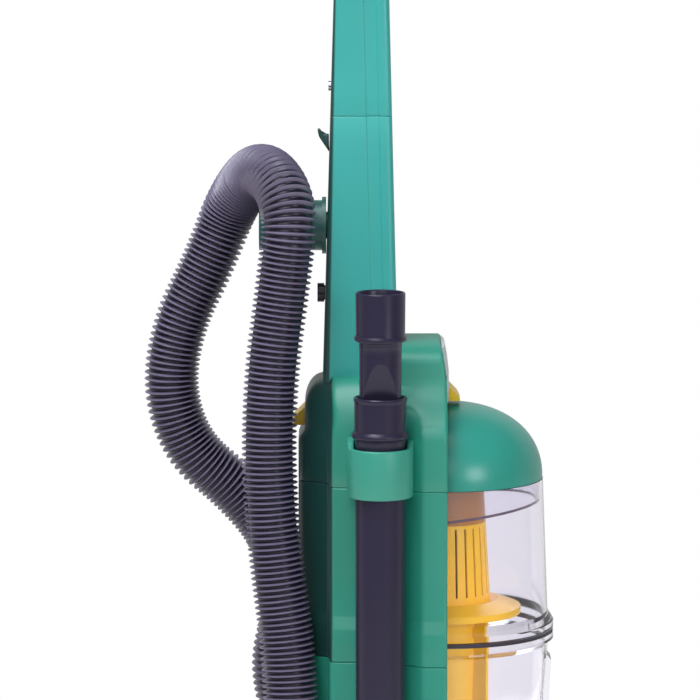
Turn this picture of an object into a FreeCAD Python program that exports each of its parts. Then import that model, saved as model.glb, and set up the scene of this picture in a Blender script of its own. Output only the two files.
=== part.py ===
import FreeCAD, Part
import math
import os

os.makedirs("parts", exist_ok=True)

# Upright vacuum cleaner, in millimetres.
# +X is forward, +Y is the left-hand side of a person who pushes it, +Z is up.
# The origin is on the floor, under the middle of the machine without its hose.

# Walls and clearances
wall = 2.6
seat_gap = 0.3
move_gap = 1.0
running_gap = 0.05

# Foot
foot_front = 178.0
foot_half_width = 174.0
foot_bottom = 12.0
foot_nose_height = 44.0
foot_top = 102.0
foot_corner = 26.0
bumper_depth = 6.0
bumper_height = 14.0
plate_low = 8.0
plate_thick = 4.0
arm_inner = 92.5
arm_outer = 136.0
arm_rear = -145.0
arm_top = 120.0

# Brush roll, its tunnel and its drive
brush_x = 138.0
brush_z = 30.0
brush_core_radius = 17.0
bristle_reach = 8.0
bristle_width = 4.0
bristle_rows = 6
brush_right = -150.0
brush_left = 150.0
journal_radius = 5.0
journal_length = 12.0
bearing_radius = 11.0
bearing_length = 9.0
tunnel_clearance = 3.6
tunnel_wall = 2.4
belt_y = 121.0
belt_width = 9.0
belt_thick = 2.4
motor_pulley_radius = 7.5
brush_pulley_radius = 14.0

# Wheels
wheel_radius = 38.0
wheel_width = 24.0
wheel_x = -127.0
tyre_thick = 7.0
axle_radius = 4.0
roller_radius = 12.0
roller_width = 20.0
roller_x = 88.0
roller_y = 74.0
roller_pin_radius = 2.5

# Recline pivot and motor
pivot_x = -60.0
pivot_z = 90.0
barrel_radius = 60.0
barrel_half_width = 88.5
trunnion_radius = 20.0
trunnion_bore = 15.0
trunnion_length = 16.0
bush_thick = 4.0
bush_length = 12.0
motor_radius = 42.0
motor_wall = 3.0
motor_right = -52.0
motor_left = 62.0
shaft_radius = 4.0
rotor_radius = 25.0
rotor_length = 62.0
fan_radius = 35.0
fan_thick = 3.0
fan_blades = 9
mount_ring_width = 10.0

# Release pedal and height dial
pedal_length = 46.0
pedal_x = -104.0
pedal_pin_radius = 2.5
dial_x = 62.0
dial_y = -112.0
dial_radius = 18.0
dial_height = 11.0
dial_boss_top = 96.0

# Dust cup
cup_x = -40.0
cup_bottom = 262.3
cup_wall = 2.3
cup_foot_radius = 67.0
cup_waist_radius = 76.4
cup_joint = 447.5
cup_flange_radius = 80.4
cup_flange_height = 5.0
cup_flare_height = 12.0
cup_seal_height = 3.0
cup_top = 562.0
cup_top_radius = 72.2
lid_height = 56.0
lid_power = 2.25
lid_wall = 2.6
lid_lip = 7.0
screen_top_radius = 28.0
screen_foot_radius = 33.4
screen_low = 470.0
screen_wall = 2.0
outlet_radius = 13.0
slot_count = 26
slot_width = 1.6
slot_low = 476.0
slot_high = 527.0
plate_radius = 56.0
plate_rim_low = 461.0
plate_rim_thick = 5.0
plate_rise = 8.0
baffle_radius = 31.0
baffle_low = 330.0
baffle_wall = 2.0
fin_count = 4
fin_reach = 12.0
filter_radius = 24.0
filter_root = 18.5
filter_pleats = 32
filter_high = 559.4
grip_width = 24.0
grip_depth = 3.0
grip_top = 432.0
grip_bottom = 300.0

# Housing outline, half of it, as distances from the cup's axis plane
side_panel = 86.0
panel_rear = -58.0
flank_front = -82.0
flank_half_width = 68.0
step_x = -126.0
step_out = 64.0
step_in = 45.0
rear_x = -149.0
rear_half_width = 29.0
recess_gap = 1.6
housing_low_seam = 435.0
housing_high_seam = 564.2
band_low = 459.0
band_high = 469.0
band_step = 3.5
seat_top = 258.0
seat_pad = 4.0
shoulder_start = 601.0
shoulder_top = 643.0
head_top = 667.0
head_half_width = 50.0
head_rear = -75.2
head_round = 9.0
head_lean_start = 630.0
head_lean = 4.5
head_edge = 2.0
shoulder_rear_drop = 16.0
lid_clearance = 8.0

# Neck and handle
neck_seam = 833.0
neck_top = 990.0
neck_front_base = -75.5
neck_rear_base = -131.0
neck_half_base = 31.0
neck_front_top = -84.0
neck_rear_top = -121.0
neck_half_top = 22.0
neck_corner = 10.0
neck_spigot = 17.0
loop_tube = 13.5
loop_height = 128.0
loop_reach = 96.0
loop_lean = 14.0
loop_forward = 12.0
loop_corner = 27.0
grip_sleeve = 2.0
clip_z = 812.0
clip_reach = 7.5
clip_height = 9.0

# Wand, its holders and the crevice tool
wand_x = -89.0
wand_y = -90.0
wand_top = 635.0
wand_bottom = 219.0
wand_radius = 18.2
wand_foot_radius = 17.6
wand_bore = 15.6
collar_radius = 18.9
collar_low = 601.0
collar_mouth_bore = 16.6
ring_radius = 21.0
ring_low = 605.0
ring_height = 4.4
loop_low = 562.0
loop_high = 598.0
loop_outer = 25.0
loop_gap = 1.1
loop_ear_rise = 4.0
socket_wall = 3.0
socket_top = 250.0
tool_top = 711.5
tool_cuff_radius = 18.1
tool_cuff_bore = 15.9
tool_bore_depth = 30.0
tool_ring_z = 676.0
tool_ring_radius = 19.2
tool_ring_height = 3.5
tool_neck_radius = 15.4
tool_blade_start = 657.0
tool_blade_flat = 640.0
tool_blade_thick = 13.0
tool_tip = 474.0
tool_wall = 1.6

# Hose
hose_radius = 20.5
hose_groove_radius = 17.0
hose_bore_radius = 15.5
hose_pitch = 5.6
cuff_radius = 22.0
cuff_length = 46.0
cuff_in_socket = 20.0
hose_port_x = -154.0
hose_port_y = 59.0
port_wall = 3.2
port_top = 285.0
shelf_top = 262.0
shelf_low = 228.0

# Hose hook, cord hooks, cord gland and switches
peg_radius = 18.5
peg_end = -178.0
peg_z = 750.0
peg_wall = 3.0
slope_gap = 0.7
hook_post_radius = 6.0
hook_z = 962.0
hook_reach = 34.0
hook_arm = 46.0
hook_thick = 9.0
hook_half_width = 11.0
low_hook_z = 345.0
low_hook_reach = 27.0
gland_z = 700.0
gland_radius = 7.0
gland_bore = 4.2
gland_length = 16.0
switch_half_width = 14.0
switch_low = 603.0
switch_high = 616.0
switch_out = 9.0
switch_travel = 3.0
latch_half_width = 17.0
latch_low = 621.4
latch_high = 632.0
latch_front = -29.6
latch_pin_radius = 1.6
badge_thick = 2.6
badge_low = 622.5
badge_half_width = 36.0
badge_notch_high = 642.0
badge_notch_gap = 1.5

# Exhaust
grille_half_angle = 34.0
grille_low = 176.0
grille_high = 236.0
slat_thick = 2.2
slat_count = 7
filter_box_depth = 26.0
filter_box_half_width = 42.0

screw_radius = 2.0
screw_head_radius = 3.6
screw_length = 14.0
screw_spread = 20.0
back_screw_heights = (300.0, 410.0)
neck_screw_rise = 20.0
foot_screw_x = (20.0, 100.0)
foot_screw_y = (-60.0, 95.0)


def point(x, y, z):
    return FreeCAD.Vector(x, y, z)


def box(x_low, x_high, y_low, y_high, z_low, z_high):
    size = (x_high - x_low, y_high - y_low, z_high - z_low)
    return Part.makeBox(*size, point(x_low, y_low, z_low))


def rod(start, direction, radius, length):
    return Part.makeCylinder(radius, length, start, direction)


def tube(start, direction, outer, inner, length):
    return rod(start, direction, outer, length).cut(rod(start, direction, inner, length))


def upright_rod(x, y, z_low, z_high, radius):
    return rod(point(x, y, z_low), point(0, 0, 1), radius, z_high - z_low)


def cross_rod(x, z, y_low, y_high, radius):
    return rod(point(x, y_low, z), point(0, 1, 0), radius, y_high - y_low)


def turned(profile, x, y):
    """Turn a closed profile of (radius, height) points about a vertical axis."""
    corners = [point(x + radius, y, height) for radius, height in profile]
    face = Part.Face(Part.makePolygon(corners + corners[:1]))
    return face.revolve(point(x, y, 0), point(0, 0, 1), 360)


def plan_face(points, z):
    corners = [point(x, y, z) for x, y in points]
    return Part.Face(Part.makePolygon(corners + corners[:1]))


def plan_prism(points, z_low, z_high):
    return plan_face(points, z_low).extrude(point(0, 0, z_high - z_low))


def side_prism(points, y_low, y_high):
    corners = [point(x, y_low, z) for x, z in points]
    face = Part.Face(Part.makePolygon(corners + corners[:1]))
    return face.extrude(point(0, y_high - y_low, 0))


def mirrored(half):
    return half + [(x, -y) for x, y in reversed(half)]


def rounded_rectangle(x_low, x_high, half_width, radius, z):
    """A closed wire of four lines and four quarter arcs, in a level plane."""
    edges = []
    centres = [(x_high - radius, half_width - radius, 0), (x_low + radius, half_width - radius, 90),
               (x_low + radius, radius - half_width, 180), (x_high - radius, radius - half_width, 270)]
    ends = []
    for x, y, turn in centres:
        spots = []
        for extra in (0, 45, 90):
            angle = math.radians(turn + extra)
            spots.append(point(x + radius * math.cos(angle), y + radius * math.sin(angle), z))
        edges.append(Part.Arc(*spots).toShape())
        ends.append((spots[0], spots[2]))
    lines = [Part.makeLine(ends[i][1], ends[(i + 1) % 4][0]) for i in range(4)]
    return Part.Wire([edge for pair in zip(edges, lines) for edge in pair])


def ruled_loft(wires):
    return Part.makeLoft(wires, True, True)


def joined(shapes):
    result = shapes[0].fuse(shapes[1:]) if len(shapes) > 1 else shapes[0]
    return result.removeSplitter()


def save(name, *solids):
    shape = solids[0] if len(solids) == 1 else Part.makeCompound(list(solids))
    shape.exportStep("parts/" + name + ".step")
    print(name, len(shape.Solids), round(shape.Volume), shape.isValid())


def screws(places, direction):
    """Round-headed screws, one at each place, with the head's underside there."""
    made = []
    for place in places:
        shank = rod(place, direction, screw_radius, screw_length)
        head = rod(place - direction * screw_radius, direction, screw_head_radius, screw_radius)
        made.append(shank.fuse(head))
    return made


def drilled(shape, places, direction):
    """The shape with a close hole for each screw."""
    reach = screw_length + running_gap
    holes = [rod(place, direction, screw_radius + running_gap, reach) for place in places]
    heads = [rod(place - direction * screw_radius, direction, screw_head_radius + running_gap, screw_radius)
             for place in places]
    return shape.cut(holes + heads)


# Housing outline at a given growth, as half of a plan polygon
def housing_half(grow):
    return [(cup_x, side_panel + grow), (panel_rear, side_panel - 0.5 + grow),
            (flank_front, flank_half_width + grow), (step_x, step_out + grow),
            (step_x - 1.0, step_in + grow), (rear_x - grow, rear_half_width + grow * 0.5)]


def shoulder_half(inset):
    """The outline drawn in towards the neck, for the rounded shoulder."""
    return [(cup_x, side_panel - inset), (panel_rear, side_panel - 0.5 - inset),
            (flank_front, flank_half_width - inset * 0.72), (step_x + inset * 0.2, step_out - inset * 0.72),
            (step_x - 1.0 + inset * 0.2, step_in - inset * 0.36),
            (rear_x + min(inset * 0.72, shoulder_rear_drop), rear_half_width - inset * 0.1)]


def housing_prism(grow, z_low, z_high):
    return plan_prism(mirrored(housing_half(grow)), z_low, z_high)


def housing_wire(half, z):
    corners = [point(x, y, z) for x, y in mirrored(half)]
    return Part.makePolygon(corners + corners[:1])


def cup_cylinder(radius, z_low, z_high):
    return upright_rod(cup_x, 0, z_low, z_high, radius)


def neck_section(z, inset):
    share = (z - shoulder_top) / (neck_top - shoulder_top)
    rear = neck_rear_base + share * (neck_rear_top - neck_rear_base)
    front = neck_front_base + share * (neck_front_top - neck_front_base)
    half = neck_half_base + share * (neck_half_top - neck_half_base)
    return rear + inset, front - inset, half - inset


def neck_rear(z):
    return neck_section(z, 0.0)[0]


back_screws = [point(rear_x - band_step, side * screw_spread, z)
               for side in (-1, 1) for z in back_screw_heights]
neck_screws = [point(neck_section(neck_seam + neck_screw_rise, 0.0)[0], 0, neck_seam + neck_screw_rise)]
foot_screws = [point(x, y, plate_low) for x in foot_screw_x for y in foot_screw_y]
latch_pin_x = cup_x - 5.0
latch_pin_z = latch_high - 4.0
recess_radius = cup_waist_radius + recess_gap
flange_recess = cup_flange_radius + recess_gap * 0.7


def lid_curve(radius, height, steps):
    """Points of a superellipse from the rim to the crown."""
    spots = []
    for step in range(steps + 1):
        angle = math.radians(90.0 * step / steps)
        across = radius * math.cos(angle) ** (2 / lid_power) if step < steps else 0.0
        up = height * math.sin(angle) ** (2 / lid_power) if step else 0.0
        spots.append(point(cup_x + across, 0, cup_top + up))
    return spots


def turned_dome(radius, height):
    spots = lid_curve(radius, height, 12)
    curve = Part.BSplineCurve()
    curve.interpolate(spots)
    axis_foot = point(cup_x, 0, cup_top)
    edges = [curve.toShape(), Part.makeLine(spots[-1], axis_foot), Part.makeLine(axis_foot, spots[0])]
    return Part.Face(Part.Wire(edges)).revolve(axis_foot, point(0, 0, 1), 360)


def head_front(z):
    """The head's front face, which leans back towards the top."""
    climb = max(z - head_lean_start, 0) / (head_top - head_lean_start)
    return cup_x - head_lean * climb ** 2


def head_wire(z, half, inset):
    """A level section of the head that stands in front of the neck."""
    high = head_front(z) - inset
    low = head_rear + inset
    half = half - inset
    back = min(half, flank_half_width - 2 - inset)
    side = [(high, half - head_edge), (high - head_edge, half), (panel_rear - 2, half),
            (panel_rear - 12, back), (low, back)]
    corners = [point(x, y, z) for x, y in mirrored(side)]
    return Part.makePolygon(corners + corners[:1])


def recess_dome(grow, height_grow):
    """The space round the lid: a cylinder up to the lid's rim, then a dome."""
    dome = turned_dome(recess_radius + grow, lid_height + lid_clearance + height_grow)
    return dome.fuse(cup_cylinder(recess_radius + grow, cup_top - 8, cup_top))


def head_sides():
    """Levels of the head with the half width at each."""
    return [(shoulder_start + 10, side_panel - 2), (shoulder_start + 22, side_panel - 8),
            (shoulder_start + 33, side_panel - 19), (shoulder_start + 44, side_panel - 29),
            (shoulder_start + 53, head_half_width + 1.5), (head_top - head_round, head_half_width),
            (head_top - head_round * 0.4, head_half_width - head_round * 0.2),
            (head_top - head_round * 0.1, head_half_width - head_round * 0.6),
            (head_top, head_half_width - head_round)]


def head_block():
    return ruled_loft([head_wire(z, half, 0.0) for z, half in head_sides()])


shoulder_insets = [(0.0, housing_high_seam), (0.0, shoulder_start), (3.0, shoulder_start + 14),
                   (11.0, shoulder_start + 27), (23.0, shoulder_start + 37), (36.0, shoulder_top)]


def shoulder_block():
    return ruled_loft([housing_wire(shoulder_half(inset), z) for inset, z in shoulder_insets])


def make_upper_housing():
    hollow = ruled_loft([housing_wire(shoulder_half(inset + wall), z - (wall if z > shoulder_start else 0))
                         for inset, z in shoulder_insets])
    head_hollow = ruled_loft([head_wire(z - wall, half, wall) for z, half in head_sides()[:-1]])
    inner = hollow.fuse(head_hollow).cut(recess_dome(wall, wall))
    shell = shoulder_block().fuse(head_block()).cut(inner).cut(recess_dome(0.0, 0.0))
    slot = box(rear_x - 1, rear_x + 24, -switch_half_width - seat_gap, switch_half_width + seat_gap,
               switch_low - seat_gap, switch_high + seat_gap)
    rear, front, half = neck_section(shoulder_top, wall + 1 - running_gap)
    spigot_hole = Part.Face(rounded_rectangle(rear, front, half, neck_corner - wall, shoulder_top - 60))
    shell = shell.cut(slot).cut(spigot_hole.extrude(point(0, 0, 70)).cut(recess_dome(wall, wall)))
    latch_bay = box(cup_x - 14, cup_x + 1, -latch_half_width - seat_gap, latch_half_width + seat_gap,
                    latch_low - 1, latch_high + 2)
    pin_hole = cross_rod(latch_pin_x, latch_pin_z, -latch_half_width - 4, latch_half_width + 4,
                         latch_pin_radius)
    return shell.cut([latch_bay, pin_hole])


def make_mid_housing():
    upper = housing_prism(0.0, band_high, housing_high_seam)
    band = ruled_loft([housing_wire(housing_half(band_step), band_low),
                       housing_wire(housing_half(0.0), band_high)])
    lower = housing_prism(band_step, housing_low_seam, band_low)
    outer = upper.fuse([band, lower])
    inside = housing_prism(-wall, housing_low_seam - 1, housing_high_seam + 1)
    keep = cup_cylinder(recess_radius + wall, band_high, housing_high_seam + 2)
    keep = keep.fuse(cup_cylinder(flange_recess + wall, housing_low_seam - 2, band_high))
    recess = cup_cylinder(recess_radius, band_low, housing_high_seam + 2)
    recess = recess.fuse(cup_cylinder(flange_recess, housing_low_seam - 2, band_high - wall))
    shell = outer.cut(inside.cut(keep)).cut(recess)
    inlet = rod(point(cup_x - 60, 0, inlet_z), point(-1, 0, 0), inlet_radius, 40)
    return shell.cut(inlet)


inlet_z = 515.0
inlet_radius = 13.0
base_front_radius = 84.0


def lower_side_profile(inset):
    front = cup_x + base_front_radius - inset
    top = seat_top - inset
    return [(front, top), (front, 168.0 + inset * 0.5), (front - 6, 150.0 + inset),
            (front - 30, 128.0 + inset), (-16.0, 118.0 + inset), (-100.0, 118.0 + inset),
            (-136.0 + inset, 170.0 + inset * 0.5),
            (rear_x - band_step + inset, 226.0), (rear_x - band_step + inset, top)]


def make_lower_housing():
    reach = housing_prism(band_step, 100, seat_top).fuse(cup_cylinder(base_front_radius, 100, seat_top))
    block = reach.common(side_prism(lower_side_profile(0.0), -200, 200))
    barrel = cross_rod(pivot_x, pivot_z, -barrel_half_width, barrel_half_width, barrel_radius)
    wrap = housing_prism(band_step, seat_top, housing_low_seam)
    wrap = wrap.cut(cup_cylinder(flange_recess, seat_top, housing_low_seam + 1))
    shelf = box(hose_port_x - cuff_radius - port_wall, step_x, -hose_port_y - cuff_radius - port_wall,
                hose_port_y + cuff_radius + port_wall, shelf_low, shelf_top)
    ports = [upright_rod(hose_port_x, side * hose_port_y, shelf_low, port_top, cuff_radius + port_wall)
             for side in (-1, 1)]
    trunnions = [cross_rod(pivot_x, pivot_z, side, side + trunnion_length, trunnion_radius)
                 for side in (-barrel_half_width - trunnion_length, barrel_half_width)]
    pad = cup_cylinder(cup_foot_radius - 6, seat_top, seat_top + seat_pad)
    pad = pad.cut(box(cup_x + 34, cup_x + 90, -90, 90, seat_top - 1, seat_top + 10))
    outer = joined([block, barrel, wrap, shelf, pad] + ports + trunnions)

    inner_reach = housing_prism(band_step - wall, 100, seat_top)
    inner_reach = inner_reach.fuse(cup_cylinder(base_front_radius - wall, 100, seat_top))
    inner_block = inner_reach.common(side_prism(lower_side_profile(wall), -200, 200))
    inner_barrel = cross_rod(pivot_x, pivot_z, wall - barrel_half_width, barrel_half_width - wall,
                             barrel_radius - wall)
    inner_wrap = housing_prism(band_step - wall, seat_top - wall - 1, housing_low_seam + 1)
    inner_wrap = inner_wrap.cut(cup_cylinder(flange_recess + wall, seat_top - wall - 2,
                                             housing_low_seam + 2))
    bores = [upright_rod(hose_port_x, side * hose_port_y, port_top - cuff_in_socket - 1, port_top + 1,
                         cuff_radius + running_gap) for side in (-1, 1)]
    passages = [upright_rod(hose_port_x, side * hose_port_y, shelf_low + wall, port_top, hose_bore_radius)
                for side in (-1, 1)]
    channels = [box(hose_port_x, step_x + 12, side * hose_port_y - 12, side * hose_port_y + 12,
                    shelf_low + wall, shelf_top - wall) for side in (-1, 1)]
    hollow_pins = cross_rod(pivot_x, pivot_z, -barrel_half_width - trunnion_length - 1,
                            barrel_half_width + trunnion_length + 1, trunnion_bore)
    window = grille_sector(base_front_radius - wall - 2, base_front_radius + 2, grille_low - seat_gap,
                           grille_high + seat_gap, grille_half_angle + 0.3)
    suction = upright_rod(cup_x, 0, seat_top - 10, seat_top + seat_pad + 1, 20.0)
    shell = outer.cut([inner_block, inner_barrel, inner_wrap, hollow_pins, window, suction]
                      + bores + passages + channels)
    return drilled(shell, back_screws, point(1, 0, 0))


def grille_sector(inner, outer, z_low, z_high, half_angle):
    """A sector of a ring about the cup's axis, centred on the front."""
    ring = cup_cylinder(outer, z_low, z_high).cut(cup_cylinder(inner, z_low - 1, z_high + 1))
    far = 2 * outer
    side = far * math.tan(math.radians(half_angle))
    wedge = plan_prism([(cup_x, 0), (cup_x + far, side), (cup_x + far, -side)], z_low, z_high)
    return ring.common(wedge)


def make_exhaust_grille():
    frame_wide = 3.0
    outer = base_front_radius - 0.4
    inner = base_front_radius - wall
    plate = grille_sector(inner, outer, grille_low, grille_high, grille_half_angle)
    angle_wide = math.degrees(frame_wide / outer)
    hole = grille_sector(inner - 1, outer + 1, grille_low + frame_wide, grille_high - frame_wide,
                         grille_half_angle - angle_wide)
    slats = []
    space = (grille_high - grille_low - 2 * frame_wide) / (slat_count + 1)
    for number in range(slat_count):
        z = grille_low + frame_wide + space * (number + 1) - slat_thick / 2
        slats.append(grille_sector(inner, outer, z, z + slat_thick, grille_half_angle - 0.5))
    return joined([plate.cut(hole)] + slats)


# Upright: housings
save("upper_housing", make_upper_housing())
save("mid_housing", make_mid_housing())
save("lower_housing", make_lower_housing())
save("exhaust_grille", make_exhaust_grille())
filter_box_front = cup_x + math.sqrt((base_front_radius - wall) ** 2 - filter_box_half_width ** 2) - seat_gap
save("exhaust_filter", box(filter_box_front - filter_box_depth, filter_box_front, -filter_box_half_width,
                           filter_box_half_width, grille_low, grille_high))


# Upright: neck, handle and the small pieces on them
def neck_loft(z_low, z_high, inset):
    wires = []
    for z in (z_low, z_high):
        rear, front, half = neck_section(z, inset)
        wires.append(rounded_rectangle(rear, front, half, neck_corner - inset * 0.9, z))
    return Part.makeLoft(wires, True, True)


def make_lower_neck():
    outer = neck_loft(shoulder_top, neck_seam, 0.0)
    rear, front, half = neck_section(shoulder_top, wall + 1)
    spigot_face = Part.Face(rounded_rectangle(rear, front, half, neck_corner - wall,
                                              shoulder_top - neck_spigot))
    outer = outer.fuse(spigot_face.extrude(point(0, 0, neck_spigot)))
    inner = neck_loft(shoulder_top, neck_seam, 2 * wall + 0.5)
    inner_foot = Part.Face(rounded_rectangle(*neck_section(shoulder_top, 2 * wall + 0.5), neck_corner - 5,
                                             shoulder_top - neck_spigot - 1))
    inner = inner.fuse(inner_foot.extrude(point(0, 0, neck_spigot + 1)))
    rear = neck_rear(clip_z)
    clip_top = clip_z + clip_height
    clip = side_prism([(rear + 2, clip_z), (rear - clip_reach * 0.6, clip_z + 1),
                       (rear - clip_reach, clip_top), (rear - clip_reach + 2, clip_top),
                       (rear - 1, clip_z + 5), (rear + 2, clip_z + 5)], -6, 6)
    rear = neck_rear(gland_z)
    gland_hole = rod(point(rear - 2, 0, gland_z), point(1, 0, 0), gland_radius - 1.5 + running_gap, 14)
    peg_hole = rod(point(rear - 4, 0, peg_z), point(1, 0, 0), peg_spigot_radius + running_gap, 14)
    return outer.fuse(clip).cut([inner, gland_hole, peg_hole])


peg_spigot_radius = 10.0


def make_upper_neck():
    outer = neck_loft(neck_seam, neck_top, 0.0)
    inner = neck_loft(neck_seam, neck_top, 2 * wall + 0.5)
    rear = neck_section(hook_z, 0.0)[0]
    hole = rod(point(rear - 3, 0, hook_z), point(1, 0, 0), hook_post_radius + running_gap, 16)
    return drilled(outer.cut([inner, hole]), neck_screws, point(1, 0, 0))


def loop_corners():
    """The corners of the handle's centre line, in the middle plane, from the front foot round."""
    centre_x = (neck_front_top + neck_rear_top) / 2 + loop_forward
    low = neck_top + loop_tube
    high = neck_top + loop_height - loop_tube
    reach = loop_reach / 2 - loop_tube
    return [(centre_x + reach, low), (centre_x + reach - loop_lean, high),
            (centre_x - reach - loop_lean, high), (centre_x - reach, low)]


def rounded_path(corners, radius):
    edges = []
    stops = []
    total = len(corners)
    for index in range(total):
        here = FreeCAD.Vector(corners[index][0], 0, corners[index][1])
        before = FreeCAD.Vector(corners[index - 1][0], 0, corners[index - 1][1])
        after = FreeCAD.Vector(corners[(index + 1) % total][0], 0, corners[(index + 1) % total][1])
        back = (before - here).normalize()
        ahead = (after - here).normalize()
        half_angle = back.getAngle(ahead) / 2
        cut = radius / math.tan(half_angle)
        bisector = (back + ahead).normalize()
        centre = here + bisector * (radius / math.sin(half_angle))
        middle = centre - bisector * radius
        stops.append((here + back * cut, middle, here + ahead * cut))
    for index in range(total):
        start, middle, end = stops[index]
        edges.append(Part.Arc(start, middle, end).toShape())
        edges.append(Part.makeLine(end, stops[(index + 1) % total][0]))
    return Part.Wire(Part.__sortEdges__(edges))


def make_handle_loop():
    path = rounded_path(loop_corners(), loop_corner)
    first = path.Edges[0]
    start = first.valueAt(first.FirstParameter)
    direction = first.tangentAt(first.FirstParameter)
    ring = Part.Wire(Part.makeCircle(loop_tube, start, direction))
    loop = path.makePipeShell([ring], True, False, 0)
    foot_wires = [rounded_rectangle(*neck_section(neck_top, 0.0), neck_corner, neck_top),
                  rounded_rectangle(*neck_section(neck_top, 3.0), neck_corner - 3, neck_top + loop_tube + 4)]
    foot = ruled_loft(foot_wires)
    return loop.fuse(foot)


def make_grip_sleeve():
    corners = loop_corners()
    low = FreeCAD.Vector(corners[3][0], 0, corners[3][1])
    high = FreeCAD.Vector(corners[2][0], 0, corners[2][1])
    direction = (high - low).normalize()
    start = low + direction * (loop_corner + 3)
    length = (high - low).Length - 2 * (loop_corner + 3)
    return tube(start, direction, loop_tube + grip_sleeve, loop_tube, length)


save("lower_neck", make_lower_neck())
save("upper_neck", make_upper_neck())
save("handle_loop", make_handle_loop())
save("grip_sleeve", make_grip_sleeve())


def make_hose_hook():
    rear = neck_rear(peg_z)
    length = rear - peg_end
    body = rod(point(rear - slope_gap, 0, peg_z), point(-1, 0, 0), peg_radius, length - slope_gap)
    core = rod(point(rear + 1, 0, peg_z), point(-1, 0, 0), peg_radius - peg_wall, length - peg_wall + 1)
    half_core = core.cut(box(peg_end - 5, rear + 5, -30, 30, peg_z + 4, peg_z + 30))
    flange = rod(point(rear - slope_gap, 0, peg_z), point(-1, 0, 0), peg_radius + 2.5, 3.0)
    spigot = rod(point(rear - 3, 0, peg_z), point(1, 0, 0), peg_spigot_radius, 10)
    return joined([body.cut(half_core), flange, spigot])


def make_gland():
    rear = neck_rear(gland_z)
    body = rod(point(rear - slope_gap, 0, gland_z), point(-1, 0, 0), gland_radius, 5)
    stem = rod(point(rear + 8, 0, gland_z), point(-1, 0, 0), gland_radius - 1.5, 9)
    bore = rod(point(rear + 9, 0, gland_z), point(-1, 0, 0), gland_bore, gland_length + 9)
    return body.fuse(stem).cut(bore)


def make_upper_cord_hook():
    rear = neck_rear(hook_z)
    post = rod(point(rear + 10, 0, hook_z), point(-1, 0, 0), hook_post_radius, 10 + hook_reach)
    arm_x = rear - hook_reach
    arm = box(arm_x - hook_thick / 2, arm_x + hook_thick / 2, -hook_half_width, hook_half_width,
              hook_z - 8, hook_z + hook_arm)
    arm = arm.makeFillet(3.0, [edge for edge in arm.Edges if edge.Length > 40])
    washer = rod(point(rear - seat_gap, 0, hook_z), point(-1, 0, 0), hook_post_radius + 4, 3)
    return joined([post, arm, washer])


def make_lower_cord_hook():
    rear = rear_x - band_step
    arm_x = rear - low_hook_reach
    stem = box(arm_x, rear, -hook_half_width, hook_half_width, low_hook_z - 5, low_hook_z + 5)
    arm = box(arm_x - hook_thick / 2, arm_x + hook_thick / 2, -hook_half_width, hook_half_width,
              low_hook_z - hook_arm, low_hook_z + 5)
    plate = box(rear - 3, rear, -16, 16, low_hook_z - 18, low_hook_z + 18)
    return joined([stem, arm, plate])


save("hose_hook", make_hose_hook())
save("cord_gland", make_gland())
save("upper_cord_hook", make_upper_cord_hook())
save("lower_cord_hook", make_lower_cord_hook())


def make_power_switch():
    back = rear_x + 5
    profile = [(back - switch_out, switch_low), (back - switch_out, switch_low + 5),
               (back - 1, switch_high), (back + 12, switch_high), (back + 12, switch_low)]
    return side_prism(profile, -switch_half_width, switch_half_width)


def make_switch_box():
    front = rear_x + 5 + 12 + switch_travel + seat_gap
    body = box(front, front + 30, -11, 11, switch_low - 3, switch_high)
    return body.cut(recess_dome(wall + seat_gap, wall + seat_gap))


save("power_switch", make_power_switch())
save("switch_box", make_switch_box())

def make_cup_latch():
    profile = [(cup_x + 1.5, latch_low), (latch_front, latch_low), (latch_front - 2, latch_low + 4),
               (cup_x + 2, latch_high), (cup_x - 9, latch_high), (cup_x - 9, latch_high - 8),
               (cup_x + 1.5, latch_high - 8)]
    body = side_prism(profile, -latch_half_width, latch_half_width)
    return body.cut(cross_rod(latch_pin_x, latch_pin_z, -latch_half_width - 1, latch_half_width + 1,
                              latch_pin_radius + running_gap))


def make_badge_plate():
    """A crowned plate over the head's front face, notched round the latch."""
    wires = []
    levels = (badge_low, head_lean_start, badge_notch_high, head_top - head_round - 4,
              head_top - head_round * 0.4)
    for z in levels:
        front = head_front(z)
        half = [(front + 0.4, badge_half_width), (front + badge_thick * 0.8, badge_half_width * 0.62),
                (front + badge_thick, badge_half_width * 0.2)]
        side = half + [(x, -y) for x, y in reversed(half)]
        corners = [point(x, y, z) for x, y in side]
        back = [point(front - 4, -badge_half_width, z), point(front - 4, badge_half_width, z)]
        wires.append(Part.makePolygon(corners + back + corners[:1]))
    plate = ruled_loft(wires)
    reach = badge_half_width + 1
    behind = box(cup_x - 40, cup_x, -reach, reach, badge_low - 1, head_lean_start)
    notch_half = latch_half_width + badge_notch_gap
    notch = box(cup_x - 10, latch_front, -notch_half, notch_half, badge_low - 1, badge_notch_high)
    return plate.cut([behind, notch, head_block(), shoulder_block()])


save("cup_latch", make_cup_latch())
save("latch_pin", cross_rod(latch_pin_x, latch_pin_z, -latch_half_width - 4, latch_half_width + 4,
                            latch_pin_radius))
save("badge_plate", make_badge_plate())


# Upright: wand holders
def make_wand_loop():
    outer = upright_rod(wand_x, wand_y, loop_low, loop_high, loop_outer)
    ears = box(wand_x - loop_outer + 3, wand_x + loop_outer - 3, wand_y + 8, -flank_half_width + 2,
               loop_low, loop_high + loop_ear_rise)
    bore = upright_rod(wand_x, wand_y, loop_low - 1, loop_high + 10, wand_radius + loop_gap)
    body = outer.fuse(ears).cut(bore)
    return body.cut(housing_prism(0.0, loop_low - 2, loop_high + 20))


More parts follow.
